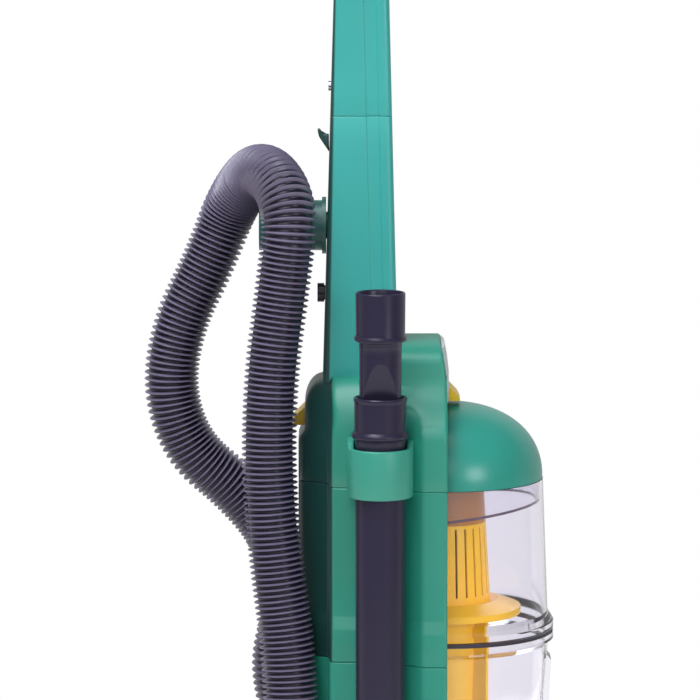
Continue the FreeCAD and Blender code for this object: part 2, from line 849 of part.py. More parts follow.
def make_wand_socket():
    outer = upright_rod(wand_x, wand_y, wand_bottom - socket_wall - 14, socket_top,
                        wand_foot_radius + loop_gap + socket_wall)
    bridge = box(wand_x - 17, wand_x + 17, wand_y, -flank_half_width + 4, wand_bottom - socket_wall - 14,
                 socket_top - 6)
    bore = upright_rod(wand_x, wand_y, wand_bottom, socket_top + 1, wand_foot_radius + loop_gap)
    body = outer.fuse(bridge).cut(bore)
    return body.cut([housing_prism(band_step, 100, socket_top + 20),
                     cup_cylinder(base_front_radius, 100, socket_top + 20)])


save("wand_loop", make_wand_loop())
save("wand_socket", make_wand_socket())

# Wand and crevice tool
wand_profile = [(wand_bore, wand_bottom), (wand_foot_radius, wand_bottom), (wand_radius, collar_low),
                (wand_radius, ring_low - 2), (wand_bore, ring_low - 2)]
save("wand_tube", turned(wand_profile, wand_x, wand_y))
collar_base = ring_low - 2
collar_profile = [(wand_bore, collar_base), (wand_radius, collar_base), (ring_radius, ring_low),
                  (ring_radius, ring_low + ring_height), (collar_radius, ring_low + ring_height + 1.5),
                  (collar_radius - 0.3, wand_top - 3), (collar_radius + 0.3, wand_top - 2),
                  (collar_radius + 0.3, wand_top), (collar_mouth_bore, wand_top),
                  (wand_bore + 0.2, wand_top - 24), (wand_bore, wand_top - 26)]
save("wand_collar", turned(collar_profile, wand_x, wand_y))


def oval_wire(half_length, half_thick, z):
    """A level ellipse with its long axis fore and aft."""
    ellipse = Part.Ellipse(point(wand_x, wand_y, z), half_length, half_thick)
    return Part.Wire(ellipse.toShape())


def make_crevice_tool():
    ring_low_z = tool_ring_z - tool_ring_height / 2
    cuff = turned([(0, tool_blade_start), (tool_neck_radius - 0.3, tool_blade_start),
                   (tool_neck_radius, ring_low_z - 3), (tool_ring_radius, ring_low_z),
                   (tool_ring_radius, ring_low_z + tool_ring_height),
                   (tool_cuff_radius - 0.4, ring_low_z + tool_ring_height + 1.2),
                   (tool_cuff_radius, tool_top - 2), (tool_cuff_radius - 0.4, tool_top), (0, tool_top)],
                  wand_x, wand_y)
    long_half = tool_neck_radius - 0.4
    flat_half = tool_blade_thick / 2
    blade = Part.makeLoft([oval_wire(long_half, long_half - 0.01, tool_blade_start),
                           oval_wire(long_half - 0.1, flat_half + 2, tool_blade_flat - 4),
                           oval_wire(long_half - 0.4, flat_half, tool_blade_flat - 40),
                           oval_wire(long_half - 1.4, flat_half - 1, tool_tip)], True, True)
    passage_half = long_half - tool_wall
    passage = Part.makeLoft([oval_wire(passage_half, passage_half - 0.01, tool_blade_start),
                             oval_wire(long_half - tool_wall - 0.1, flat_half + 2 - tool_wall,
                                       tool_blade_flat - 4),
                             oval_wire(long_half - tool_wall - 0.4, flat_half - tool_wall,
                                       tool_blade_flat - 40),
                             oval_wire(long_half - tool_wall - 1.4, flat_half - 1 - tool_wall, tool_tip)],
                            True, True)
    bore = upright_rod(wand_x, wand_y, tool_top - tool_bore_depth, tool_top + 1, tool_cuff_bore)
    throat = upright_rod(wand_x, wand_y, tool_blade_start - 1, tool_top - 1, long_half - tool_wall - 0.5)
    return cuff.fuse(blade).cut([bore, throat, passage])


save("crevice_tool", make_crevice_tool())


# Dust cup, turned about its axis
def make_cup_lid():
    dome = turned_dome(cup_top_radius - 0.3, lid_height)
    hollow = turned_dome(cup_top_radius - 0.3 - lid_wall, lid_height - lid_wall)
    lip_radius = cup_top_radius - cup_wall - seat_gap
    lip = tube(point(cup_x, 0, cup_top - lid_lip), point(0, 0, 1), lip_radius, lip_radius - 2.0, lid_lip + 3)
    collar = tube(point(cup_x, 0, cup_top), point(0, 0, 1), screen_top_radius, screen_top_radius - 2.5,
                  lid_height)
    return dome.cut(hollow).fuse([lip, collar.common(dome)])


upper_cup_low = cup_joint + cup_seal_height
flare_top = upper_cup_low + cup_flare_height
upper_cup_profile = [(cup_flange_radius - 6, upper_cup_low), (cup_flange_radius, upper_cup_low),
                     (cup_flange_radius, upper_cup_low + cup_flange_height),
                     (cup_waist_radius - 0.3, flare_top), (cup_top_radius, cup_top),
                     (cup_top_radius - cup_wall, cup_top), (cup_waist_radius - 0.3 - cup_wall, flare_top),
                     (cup_flange_radius - 6, upper_cup_low + cup_flange_height - 2)]
lower_cup_profile = [(0, cup_bottom), (cup_foot_radius, cup_bottom),
                     (cup_waist_radius, cup_joint - cup_flange_height - 4),
                     (cup_flange_radius, cup_joint - cup_flange_height), (cup_flange_radius, cup_joint),
                     (cup_flange_radius - 6.5, cup_joint), (cup_waist_radius - cup_wall, cup_joint - 8),
                     (cup_foot_radius - cup_wall, cup_bottom + 3), (0, cup_bottom + 3)]


def make_lower_cup():
    shell = turned(lower_cup_profile, cup_x, 0)
    slant = (cup_waist_radius - cup_foot_radius) / (cup_joint - cup_bottom)
    low_x = cup_x + cup_foot_radius + (grip_bottom - cup_bottom) * slant
    high_x = cup_x + cup_foot_radius + (grip_top - cup_bottom) * slant
    grip = side_prism([(low_x - cup_wall, grip_bottom), (low_x + grip_depth, grip_bottom + 4),
                       (high_x + grip_depth, grip_top - 6), (high_x - cup_wall, grip_top)],
                      -grip_width / 2, grip_width / 2)
    inside = turned([(0, cup_bottom + 4), (cup_foot_radius - cup_wall, cup_bottom + 4),
                     (cup_waist_radius - cup_wall, cup_joint), (0, cup_joint)], cup_x, 0)
    return shell.fuse(grip.cut(inside))


def make_upper_cup():
    inlet = rod(point(cup_x - 55, 0, inlet_z), point(-1, 0, 0), inlet_radius, 40)
    return turned(upper_cup_profile, cup_x, 0).cut(inlet)


def make_screen():
    high = cup_top - seat_gap
    cone = turned([(screen_foot_radius - screen_wall, screen_low), (screen_foot_radius, screen_low),
                   (screen_top_radius, high), (screen_top_radius - screen_wall, high)], cup_x, 0)
    cutters = []
    for number in range(slot_count):
        slot = box(cup_x + 18, cup_x + 50, -slot_width / 2, slot_width / 2, slot_low, slot_high)
        slot.rotate(point(cup_x, 0, 0), point(0, 0, 1), 360.0 * (number + 0.5) / slot_count)
        cutters.append(slot)
    top_plate = tube(point(cup_x, 0, high - screen_wall), point(0, 0, 1), screen_top_radius,
                     outlet_radius, screen_wall)
    return cone.cut(cutters).fuse(top_plate)


def make_dirt_plate():
    rim_high = plate_rim_low + plate_rim_thick
    return turned([(baffle_radius - baffle_wall, plate_rim_low), (plate_radius - 4, plate_rim_low),
                   (plate_radius, plate_rim_low), (plate_radius, rim_high),
                   (screen_foot_radius + 6, rim_high + plate_rise * 0.7), (screen_foot_radius, screen_low),
                   (baffle_radius - baffle_wall, screen_low)], cup_x, 0)


def make_baffle():
    body = turned([(baffle_radius - baffle_wall - 4, baffle_low), (baffle_radius - 4, baffle_low),
                   (baffle_radius, plate_rim_low), (baffle_radius - baffle_wall, plate_rim_low)], cup_x, 0)
    fins = []
    for number in range(fin_count):
        fin = box(cup_x + baffle_radius - 5, cup_x + baffle_radius + fin_reach, -1.2, 1.2,
                  baffle_low + 20, plate_rim_low)
        fin.rotate(point(cup_x, 0, 0), point(0, 0, 1), 360.0 * (number + 0.5) / fin_count)
        fins.append(fin)
    return joined([body] + fins)


def make_filter():
    outline = []
    for number in range(filter_pleats):
        for part, radius in ((0.0, filter_radius), (0.5, filter_root)):
            angle = 2 * math.pi * (number + part) / filter_pleats
            outline.append((cup_x + radius * math.cos(angle), radius * math.sin(angle)))
    pleats = plan_prism(outline, screen_low, filter_high)
    return pleats.cut(cup_cylinder(filter_root - 3, screen_low - 1, filter_high - 6))


save("cup_lid", make_cup_lid())
save("upper_cup", make_upper_cup())
save("lower_cup", make_lower_cup())
seal_profile = [(cup_flange_radius - 6, cup_joint), (cup_flange_radius - 0.6, cup_joint),
                (cup_flange_radius - 0.6, upper_cup_low), (cup_flange_radius - 6, upper_cup_low)]
save("cup_seal", turned(seal_profile, cup_x, 0))
save("cyclone_screen", make_screen())
save("dirt_plate", make_dirt_plate())
save("cup_baffle", make_baffle())
save("filter_cartridge", make_filter())


# Motor and its drive
def make_motor_can():
    can = cross_rod(pivot_x, pivot_z, motor_right, motor_left, motor_radius)
    inner = cross_rod(pivot_x, pivot_z, motor_right + motor_wall, motor_left - motor_wall,
                      motor_radius - motor_wall)
    shaft_hole = cross_rod(pivot_x, pivot_z, motor_left - motor_wall - 1, motor_left + 1,
                           shaft_radius + running_gap)
    eye = cross_rod(pivot_x, pivot_z, motor_right - 1, motor_right + motor_wall + 1, 16.0)
    return can.cut([inner, shaft_hole, eye])


def make_rotor():
    core = cross_rod(pivot_x, pivot_z, 0, rotor_length - 10, rotor_radius)
    shaft = cross_rod(pivot_x, pivot_z, motor_right + 8, belt_y + belt_width / 2 + 3, shaft_radius)
    pulley = cross_rod(pivot_x, pivot_z, belt_y - belt_width / 2 - 2, belt_y + belt_width / 2 + 2,
                       motor_pulley_radius)
    hub = cross_rod(pivot_x, pivot_z, motor_right + 10, motor_right + 26, 9.0)
    disc = cross_rod(pivot_x, pivot_z, motor_right + 24, motor_right + 24 + fan_thick, fan_radius)
    blades = []
    for number in range(fan_blades):
        blade = box(pivot_x + 7, pivot_x + fan_radius, motor_right + 12, motor_right + 25, pivot_z - 1,
                    pivot_z + 1)
        blade.rotate(point(pivot_x, 0, pivot_z), point(0, 1, 0), 360.0 * number / fan_blades)
        blades.append(blade)
    return joined([core, shaft, pulley, hub, disc] + blades)


save("motor_can", make_motor_can())
save("motor_rotor", make_rotor())
save("motor_mounts", *[cross_rod(pivot_x, pivot_z, y, y + mount_ring_width, barrel_radius - wall).cut(
    cross_rod(pivot_x, pivot_z, y - 1, y + mount_ring_width + 1, motor_radius))
    for y in (motor_right + 4, motor_left - 4 - mount_ring_width)])


# Foot
def foot_plan(inset):
    front = foot_front - inset
    half = foot_half_width - inset
    face = Part.Face(rounded_rectangle(foot_rear + inset, front, half, foot_corner - inset, 0))
    return face.extrude(point(0, 0, 200))


foot_rear = 4.0


def foot_profile(inset):
    return [(foot_front - inset, 0), (foot_front - inset, foot_nose_height - inset * 0.4),
            (foot_front - 14 - inset * 0.5, foot_nose_height + 20 - inset),
            (foot_front - 54, foot_nose_height + 34 - inset), (foot_rear + inset, foot_top - inset),
            (foot_rear + inset, 0)]


def arm_profile(inset):
    return [(foot_rear + 3, foot_bottom), (foot_rear + 3, foot_top - inset), (pivot_x + 24, arm_top - inset),
            (pivot_x - 24, arm_top - inset), (-112.0 + inset * 0.5, 98.0 - inset),
            (arm_rear + inset, 54.0 - inset * 0.5), (arm_rear + inset, foot_bottom)]


def make_foot_cover():
    front = foot_plan(0.0).common(side_prism(foot_profile(0.0), -300, 300))
    front = front.cut(box(-300, 300, -300, 300, -1, foot_bottom))
    inner = foot_plan(wall).common(side_prism(foot_profile(wall), -300, 300))
    arms = []
    hollows = [inner]
    for low, high in ((-arm_outer, -arm_inner), (arm_inner, arm_outer)):
        arms.append(side_prism(arm_profile(0.0), low, high))
        hollow = side_prism(arm_profile(wall), low + wall, high - wall)
        hollow = hollow.fuse(box(foot_rear - 3, foot_rear + 8, low + wall, high - wall, 0, foot_top - 8))
        hollows.append(hollow)
        hollows.append(box(arm_rear + wall, foot_rear + 4, low + wall, high - wall, 0, foot_bottom + 1))
    boss = upright_rod(dial_x, dial_y, dial_boss_top - 22, dial_boss_top, dial_radius + 3)
    boss_hole = upright_rod(dial_x, dial_y, dial_boss_top - 30, dial_boss_top + 1, 6.0 + running_gap)
    boss = boss.cut(inner)
    cover = joined([front] + arms)
    trunnion_holes = [cross_rod(pivot_x, pivot_z, low, low + wall + 2, trunnion_radius + bush_thick)
                      for low in (-arm_inner - wall - 1, arm_inner - 1)]
    wheel_holes = [cross_rod(wheel_x, wheel_radius, low, low + wall + 2, axle_radius)
                   for low in (-arm_outer - 1, arm_outer - wall - 1)]
    pedal_hole = cross_rod(pedal_x, pedal_pin_z, arm_inner + 2, arm_outer - 2, pedal_pin_radius)
    pedal_slot = box(pedal_x - 8, pedal_x + 8, arm_inner + 6, arm_outer - 6, 70, arm_top + 5)
    cover = cover.cut(hollows).fuse(boss)
    return cover.cut([boss_hole, pedal_slot, pedal_hole] + trunnion_holes + wheel_holes)


pedal_pin_z = 99.0
base_top = plate_low + plate_thick


def make_foot_base():
    face = Part.Face(rounded_rectangle(foot_rear + wall + seat_gap, foot_front - wall - seat_gap,
                                       foot_half_width - wall - seat_gap, foot_corner - wall, plate_low))
    plate = face.extrude(point(0, 0, plate_thick))
    arms = [box(arm_rear + wall + seat_gap, foot_rear + 4, side + wall + seat_gap,
                side + arm_outer - arm_inner - wall - seat_gap, plate_low, base_top)
            for side in (-arm_outer, arm_inner)]
    mouth = box(brush_x - 28, brush_x + 26, brush_right, brush_left, plate_low - 1, base_top + 1)
    posts = []
    slots = []
    for side in (-1, 1):
        slots.append(box(roller_x - roller_radius - 2, roller_x + roller_radius + 2,
                         side * roller_y - roller_width / 2 - 1, side * roller_y + roller_width / 2 + 1,
                         plate_low - 1, base_top + 1))
        for edge in (-1, 1):
            y = side * roller_y + edge * (roller_width / 2 + 3.5)
            posts.append(box(roller_x - 5, roller_x + 5, y - 2, y + 2, base_top - 0.5, roller_radius + 8))
    for side in (-1, 1):
        y = side * (brush_left + journal_length / 2 + 3)
        posts.append(box(brush_x - 14, brush_x + 14, y - bearing_length / 2, y + bearing_length / 2,
                         plate_low, brush_z - seat_gap).cut(
            cross_rod(brush_x, brush_z, y - 20, y + 20, bearing_radius)))
    pins = [cross_rod(roller_x, roller_radius, side * roller_y - roller_width / 2 - 6,
                      side * roller_y + roller_width / 2 + 6, roller_pin_radius) for side in (-1, 1)]
    base = joined([plate] + arms).cut([mouth] + slots).fuse(posts).cut(pins)
    return drilled(base, foot_screws, point(0, 0, 1))


def make_bumper():
    outer = rounded_rectangle(foot_rear + 60, foot_front + bumper_depth, foot_half_width,
                              foot_corner + 2, 20)
    inner = rounded_rectangle(foot_rear + 60, foot_front, foot_half_width - 0.01, foot_corner, 20)
    strip = Part.Face(outer).extrude(point(0, 0, bumper_height))
    hole = Part.Face(inner).extrude(point(0, 0, bumper_height))
    lug = foot_plan(0.0)
    strip = strip.cut(hole).cut(lug)
    return strip.common(box(foot_front - foot_corner, foot_front + 50, -300, 300, 0, 100))


tunnel_outer_radius = brush_core_radius + bristle_reach + tunnel_clearance + tunnel_wall


def make_tunnel():
    outer_radius = tunnel_outer_radius
    low = brush_right + 2
    high = belt_y - belt_width / 2 - 6
    outer = cross_rod(brush_x, brush_z, low, high, outer_radius)
    outer = outer.fuse(box(brush_x - outer_radius, brush_x + outer_radius, low, high, base_top, brush_z))
    inner = cross_rod(brush_x, brush_z, low + tunnel_wall, high - tunnel_wall, outer_radius - tunnel_wall)
    inner = inner.fuse(box(brush_x - outer_radius + tunnel_wall, brush_x + outer_radius - tunnel_wall,
                           low + tunnel_wall, high - tunnel_wall, 0, brush_z))
    core_hole = cross_rod(brush_x, brush_z, low - 1, high + 1, brush_core_radius + 1.5)
    core_hole = core_hole.fuse(box(brush_x - brush_core_radius - 1.5, brush_x + brush_core_radius + 1.5,
                                   low - 1, high + 1, 0, brush_z))
    port = box(brush_x - outer_radius - 5, brush_x - 10, duct_right + tunnel_wall, duct_left - tunnel_wall,
               base_top + tunnel_wall, base_top + tunnel_wall + 26)
    shell = outer.cut(box(-300, 300, -300, 300, -50, base_top)).cut([inner, core_hole, port])
    return shell.common(foot_inner_space())


def foot_inner_space():
    return foot_plan(wall + seat_gap).common(side_prism(foot_profile(wall + seat_gap), -300, 300))


duct_right = -arm_outer + wall + seat_gap + 0.5
duct_left = -arm_inner - bush_length - seat_gap
duct_wall = 2.0


def duct_section(x, z_low, z_high, inset):
    y_low = duct_right + inset
    y_high = duct_left - inset
    corners = [point(x, y_low, z_low + inset), point(x, y_high, z_low + inset),
               point(x, y_high, z_high - inset), point(x, y_low, z_high - inset)]
    return Part.makePolygon(corners + corners[:1])


def make_nozzle_duct():
    """A box duct from the brush tunnel back to the hollow right-hand trunnion."""
    start = brush_x - tunnel_outer_radius
    stations = [(start, base_top + 2, base_top + 30), (40.0, 26.0, 62.0), (-8.0, 62.0, 96.0),
                (pivot_x + 22, 68.0, 112.0), (pivot_x - 22, 68.0, 112.0)]
    outer = ruled_loft([duct_section(x, low, high, 0.0) for x, low, high in stations])
    inner = ruled_loft([duct_section(x, low, high, duct_wall) for x, low, high in stations[:-1]]
                       + [duct_section(pivot_x - 22 + duct_wall, 68.0, 112.0, duct_wall)])
    mouth = box(start - 2, start + 1, duct_right + duct_wall, duct_left - duct_wall,
                base_top + 2 + duct_wall, base_top + 30 - duct_wall)
    eye = cross_rod(pivot_x, pivot_z, duct_left - duct_wall - 1, duct_left + 1, trunnion_bore)
    return outer.cut([inner, mouth, eye])


def make_bushes():
    made = []
    for low in (-arm_inner - bush_length, arm_inner):
        ring = cross_rod(pivot_x, pivot_z, low, low + bush_length, trunnion_radius + bush_thick)
        made.append(ring.cut(cross_rod(pivot_x, pivot_z, low - 1, low + bush_length + 1,
                                       trunnion_radius + running_gap)))
    return made


save("foot_cover", make_foot_cover())
save("foot_base", make_foot_base())
save("furniture_bumper", make_bumper())
save("brush_tunnel", make_tunnel())
save("nozzle_duct", make_nozzle_duct())
save("pivot_bushes", *make_bushes())


# Brush roll with its bristles, bearings and belt
def make_brush_core():
    core = cross_rod(brush_x, brush_z, brush_right + 1, brush_left - 1, brush_core_radius)
    groove = tube(point(brush_x, belt_y - belt_width / 2 - 1, brush_z), point(0, 1, 0),
                  brush_core_radius + 1, brush_pulley_radius, belt_width + 2)
    journals = [cross_rod(brush_x, brush_z, y, y + journal_length, journal_radius)
                for y in (brush_right - journal_length + 1, brush_left - 1)]
    return joined([core.cut(groove)] + journals)


def make_bristles():
    """Rows of bristle strip that run along the roll in a slow twist, in short straight steps."""
    rows = []
    tip = brush_core_radius + bristle_reach
    span = (belt_y - belt_width / 2 - 8) - (brush_right + 8)
    steps = 12
    for row in range(bristle_rows):
        for step in range(steps):
            low = brush_right + 8 + span * step / steps
            strip = box(brush_x + brush_core_radius - 1, brush_x + tip, low, low + span / steps - 1.0,
                        brush_z - bristle_width / 2, brush_z + bristle_width / 2)
            turn = 360.0 * row / bristle_rows + 120.0 * step / steps
            strip.rotate(point(brush_x, 0, brush_z), point(0, 1, 0), turn)
            rows.append(strip.cut(cross_rod(brush_x, brush_z, -200, 200, brush_core_radius)))
    return rows


def make_bearings():
    made = []
    for side in (-1, 1):
        y = side * (brush_left + journal_length / 2 + 3)
        ring = cross_rod(brush_x, brush_z, y - bearing_length / 2, y + bearing_length / 2, bearing_radius)
        made.append(ring.cut(cross_rod(brush_x, brush_z, y - 20, y + 20, journal_radius + running_gap)))
    return made


def belt_face(grow):
    """The outline of a flat belt round the two pulleys, in the plane of the belt."""
    small = motor_pulley_radius + seat_gap + grow
    large = brush_pulley_radius + seat_gap + grow
    run = math.hypot(brush_x - pivot_x, brush_z - pivot_z)
    ahead = FreeCAD.Vector(brush_x - pivot_x, 0, brush_z - pivot_z).normalize()
    aside = FreeCAD.Vector(-ahead.z, 0, ahead.x)
    lean = math.asin((large - small) / run)
    small_centre = point(pivot_x, 0, pivot_z)
    large_centre = point(brush_x, 0, brush_z)
    tops = []
    for sign in (1, -1):
        normal = aside * (sign * math.cos(lean)) - ahead * math.sin(lean)
        tops.append((small_centre + normal * small, large_centre + normal * large))
    rear = small_centre - ahead * small
    front = large_centre + ahead * large
    edges = [Part.Arc(tops[1][0], rear, tops[0][0]).toShape(), Part.makeLine(tops[0][0], tops[0][1]),
             Part.Arc(tops[0][1], front, tops[1][1]).toShape(), Part.makeLine(tops[1][1], tops[1][0])]
    face = Part.Face(Part.Wire(edges))
    face.translate(point(0, belt_y - belt_width / 2, 0))
    return face.extrude(point(0, belt_width, 0))


save("brush_core", make_brush_core())
save("brush_bristles", *make_bristles())
save("brush_bearings", *make_bearings())
save("drive_belt", belt_face(belt_thick).cut(belt_face(0.0)))


# Wheels and rollers
wheel_y = arm_outer + move_gap + wheel_width / 2


def make_wheel_hub(side):
    low = side * wheel_y - wheel_width / 2
    hub = cross_rod(wheel_x, wheel_radius, low, low + wheel_width, wheel_radius - tyre_thick)
    outer_face = low + wheel_width if side > 0 else low
    dish = cross_rod(wheel_x, wheel_radius, outer_face - 6, outer_face + 6, wheel_radius - tyre_thick - 4)
    boss = cross_rod(wheel_x, wheel_radius, low + 1.5, low + wheel_width - 1.5, axle_radius + 6)
    return hub.cut(dish).fuse(boss).cut(cross_rod(wheel_x, wheel_radius, low - 1, low + wheel_width + 1,
                                                  axle_radius + running_gap))


def make_tyre(side):
    low = side * wheel_y - wheel_width / 2
    tyre = cross_rod(wheel_x, wheel_radius, low, low + wheel_width, wheel_radius)
    tyre = tyre.makeFillet(2.5, [edge for edge in tyre.Edges if len(edge.Vertexes) == 1])
    return tyre.cut(cross_rod(wheel_x, wheel_radius, low - 1, low + wheel_width + 1,
                              wheel_radius - tyre_thick))


for label, side in (("right", -1), ("left", 1)):
    save(label + "_wheel_hub", make_wheel_hub(side))
    save(label + "_tyre", make_tyre(side))
    roller = cross_rod(roller_x, roller_radius, side * roller_y - roller_width / 2,
                       side * roller_y + roller_width / 2, roller_radius)
    save(label + "_roller", roller.cut(cross_rod(roller_x, roller_radius, -200, 200,
                                                 roller_pin_radius + running_gap)))
axles = []
for side in (-1, 1):
    inner_end = side * (arm_inner + wall)
    outer_end = side * (arm_outer + move_gap + wheel_width - 3)
    axles.append(cross_rod(wheel_x, wheel_radius, min(inner_end, outer_end), max(inner_end, outer_end),
                           axle_radius))
save("wheel_axles", *axles)
save("roller_pins", *[cross_rod(roller_x, roller_radius, side * roller_y - roller_width / 2 - 5.5,
                                side * roller_y + roller_width / 2 + 5.5, roller_pin_radius)
                      for side in (-1, 1)])


# Release pedal and height dial
def make_pedal():
    y_low = arm_inner + 7
    y_high = arm_outer - 7
    tip = pedal_x - pedal_length
    profile = [(pedal_x + 7, pedal_pin_z - 5), (pedal_x + 7, pedal_pin_z + 5),
               (pedal_x - 3, pedal_pin_z + 14), (tip, pedal_pin_z + 4), (tip, pedal_pin_z - 1),
               (pedal_x - 6, pedal_pin_z + 6), (pedal_x - 6, pedal_pin_z - 5)]
    body = side_prism(profile, y_low, y_high)
    return body.cut(cross_rod(pedal_x, pedal_pin_z, y_low - 1, y_high + 1, pedal_pin_radius + running_gap))


save("release_pedal", make_pedal())
save("pedal_pin", cross_rod(pedal_x, pedal_pin_z, arm_inner + 2, arm_outer - 2, pedal_pin_radius))


def make_dial():
    low = dial_boss_top + seat_gap
    top = low + dial_height
    knob = upright_rod(dial_x, dial_y, low, top, dial_radius)
    knob = knob.makeFillet(2.0, [edge for edge in knob.Edges
                                 if edge.BoundBox.ZMin > top - 0.1 and len(edge.Vertexes) == 1])
    bar = box(dial_x - dial_radius + 3, dial_x + dial_radius - 3, dial_y - 3, dial_y + 3, top - 1, top + 5)
    stem = upright_rod(dial_x, dial_y, dial_boss_top - 16, low + 1, 6.0)
    return joined([knob, bar, stem])


save("height_dial", make_dial())

# Fasteners
save("rear_screws", *screws(back_screws, point(1, 0, 0)))
save("neck_screw", *screws(neck_screws, point(1, 0, 0)))
save("base_screws", *screws(foot_screws, point(0, 0, 1)))


# Hose: a hand-laid route of straight runs joined by tangent arcs
port_z = port_top - cuff_in_socket + cuff_length
hose_points = [
    (hose_port_x, -hose_port_y, port_z), (hose_port_x, -hose_port_y, 385.0), (-156.0, -54.0, 440.0),
    (-165.0, -50.0, 505.0), (-171.0, -47.0, 575.0), (-169.0, -45.0, 645.0), (-160.0, -42.0, 712.0),
    (-153.0, -43.0, 770.0), (-175.0, -2.5, 797.0), (-197.0, 38.0, 768.0), (-216.0, 40.0, 718.0),
    (-239.0, 40.0, 672.0), (-247.0, 40.0, 622.0), (-232.0, 42.0, 576.0), (-196.0, 47.0, 546.0),
    (-165.0, 51.0, 508.0), (-155.0, 55.0, 455.0), (-166.0, 57.5, 418.0), (-163.5, 58.5, 388.0),
    (hose_port_x, hose_port_y, 364.0), (hose_port_x, hose_port_y, port_z)]


def route_pieces(points):
    """Lines and tangent arcs along the points, each with its length and a place function."""
    corners = [FreeCAD.Vector(*spot) for spot in points]
    pieces = []
    here = corners[0]
    for index in range(1, len(corners) - 1):
        before = corners[index] - corners[index - 1]
        after = corners[index + 1] - corners[index]
        turn = before.getAngle(after)
        shorter = min(before.Length, after.Length)
        cut = 0.45 * shorter
        radius = cut / math.tan(turn / 2)
        start = corners[index] - FreeCAD.Vector(before).normalize() * cut
        end = corners[index] + FreeCAD.Vector(after).normalize() * cut
        axis = FreeCAD.Vector(before).cross(after).normalize()
        centre = start + axis.cross(FreeCAD.Vector(before).normalize()) * radius
        pieces.append(("line", here, start, None, 0.0, 0.0))
        pieces.append(("arc", start, centre, axis, turn, radius))
        here = end
    pieces.append(("line", here, corners[-1], None, 0.0, 0.0))
    return pieces


def route_length(piece):
    kind, start, other = piece[:3]
    turn, radius = piece[4:]
    return (other - start).Length if kind == "line" else turn * radius


def route_place(pieces, distance):
    """The point and direction at a distance along the route."""
    for piece in pieces:
        length = route_length(piece)
        if distance <= length or piece is pieces[-1]:
            break
        distance -= length
    kind, start, other, axis, turn, radius = piece
    if kind == "line":
        direction = (other - start).normalize()
        return start + direction * distance, direction
    rotation = FreeCAD.Rotation(axis, math.degrees(distance / radius))
    arm = rotation.multVec(start - other)
    return other + arm, axis.cross(arm).normalize()


def ring_wire(centre, direction, across, radius):
    circle = Part.Circle()
    circle.Center = centre
    circle.Axis = direction
    circle.XAxis = across
    circle.Radius = radius
    return Part.Wire(circle.toShape())


def make_hose():
    """Ribs as four circles each along the route, round a smooth bore, between plain ends."""
    pieces = route_pieces(hose_points)
    total = sum(route_length(piece) for piece in pieces)
    plain_end = 2 * hose_radius
    ribs = int((total - 2 * plain_end) / hose_pitch)
    pitch = (total - 2 * plain_end) / ribs
    stations = [(0.0, hose_groove_radius)]
    for rib in range(ribs):
        start = plain_end + rib * pitch
        stations += [(start + pitch * 0.25, hose_groove_radius), (start + pitch * 0.42, hose_radius),
                     (start + pitch * 0.62, hose_radius), (start + pitch * 0.79, hose_groove_radius)]
    stations.append((total, hose_groove_radius))
    outer_rings = []
    inner_rings = []
    across = FreeCAD.Vector(1, 0, 0)
    centres = []
    for number, (distance, radius) in enumerate(stations):
        centre, direction = route_place(pieces, distance)
        across = (across - direction * across.dot(direction)).normalize()
        outer_rings.append(ring_wire(centre, direction, across, radius))
        if number % 4 == 0 or number == len(stations) - 1:
            inner_rings.append(ring_wire(centre, direction, across, hose_bore_radius))
        centres.append((distance, centre))
    outer = [face for face in Part.makeLoft(outer_rings, True, True).Faces if len(face.Edges) > 1]
    inner = [face.reversed() for face in Part.makeLoft(inner_rings, True, True).Faces if len(face.Edges) > 1]
    ends = [Part.Face(outer_rings[end]).cut(Part.Face(inner_rings[end])).Faces[0] for end in (0, -1)]
    hose = Part.Solid(Part.Shell(outer + inner + ends))
    least = min((a - b).Length for i, (s, a) in enumerate(centres) for t, b in centres[i + 1:]
                if t - s > math.pi * hose_radius * 1.5) - 2 * hose_radius
    radii = [round(piece[5], 1) for piece in pieces if piece[0] == "arc"]
    print("hose length", round(total, 1), "ribs", ribs, "least gap to itself", round(least, 2))
    print("hose bend radii", radii)
    return hose


def make_cuff(side):
    low = port_top - cuff_in_socket
    x = hose_port_x
    y = side * hose_port_y
    outer = upright_rod(x, y, low, port_z, cuff_radius)
    ribs = [tube(point(x, y, port_top + 6 + 5 * step), point(0, 0, 1), cuff_radius + 1.2,
                 cuff_radius - 1, 2.4) for step in range(3)]
    return joined([outer] + ribs).cut(upright_rod(x, y, low - 1, port_z + 1, hose_bore_radius))


save("hose", make_hose())
save("hose_cuffs", make_cuff(-1), make_cuff(1))
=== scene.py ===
import math

import bmesh
import bpy
import numpy as np
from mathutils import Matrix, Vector


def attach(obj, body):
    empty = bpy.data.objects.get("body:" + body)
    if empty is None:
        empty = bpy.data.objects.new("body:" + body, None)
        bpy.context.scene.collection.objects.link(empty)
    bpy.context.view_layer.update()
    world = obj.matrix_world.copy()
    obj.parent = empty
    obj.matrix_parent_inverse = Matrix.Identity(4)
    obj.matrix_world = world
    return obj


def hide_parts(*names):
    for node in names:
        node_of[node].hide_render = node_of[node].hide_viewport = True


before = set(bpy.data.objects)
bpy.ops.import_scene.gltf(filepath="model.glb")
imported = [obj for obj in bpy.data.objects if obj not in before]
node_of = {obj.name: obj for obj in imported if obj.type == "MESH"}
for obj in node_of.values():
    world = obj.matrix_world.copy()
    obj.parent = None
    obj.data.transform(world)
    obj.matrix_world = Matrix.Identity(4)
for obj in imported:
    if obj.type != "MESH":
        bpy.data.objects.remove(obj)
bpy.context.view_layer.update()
MM = 0.001

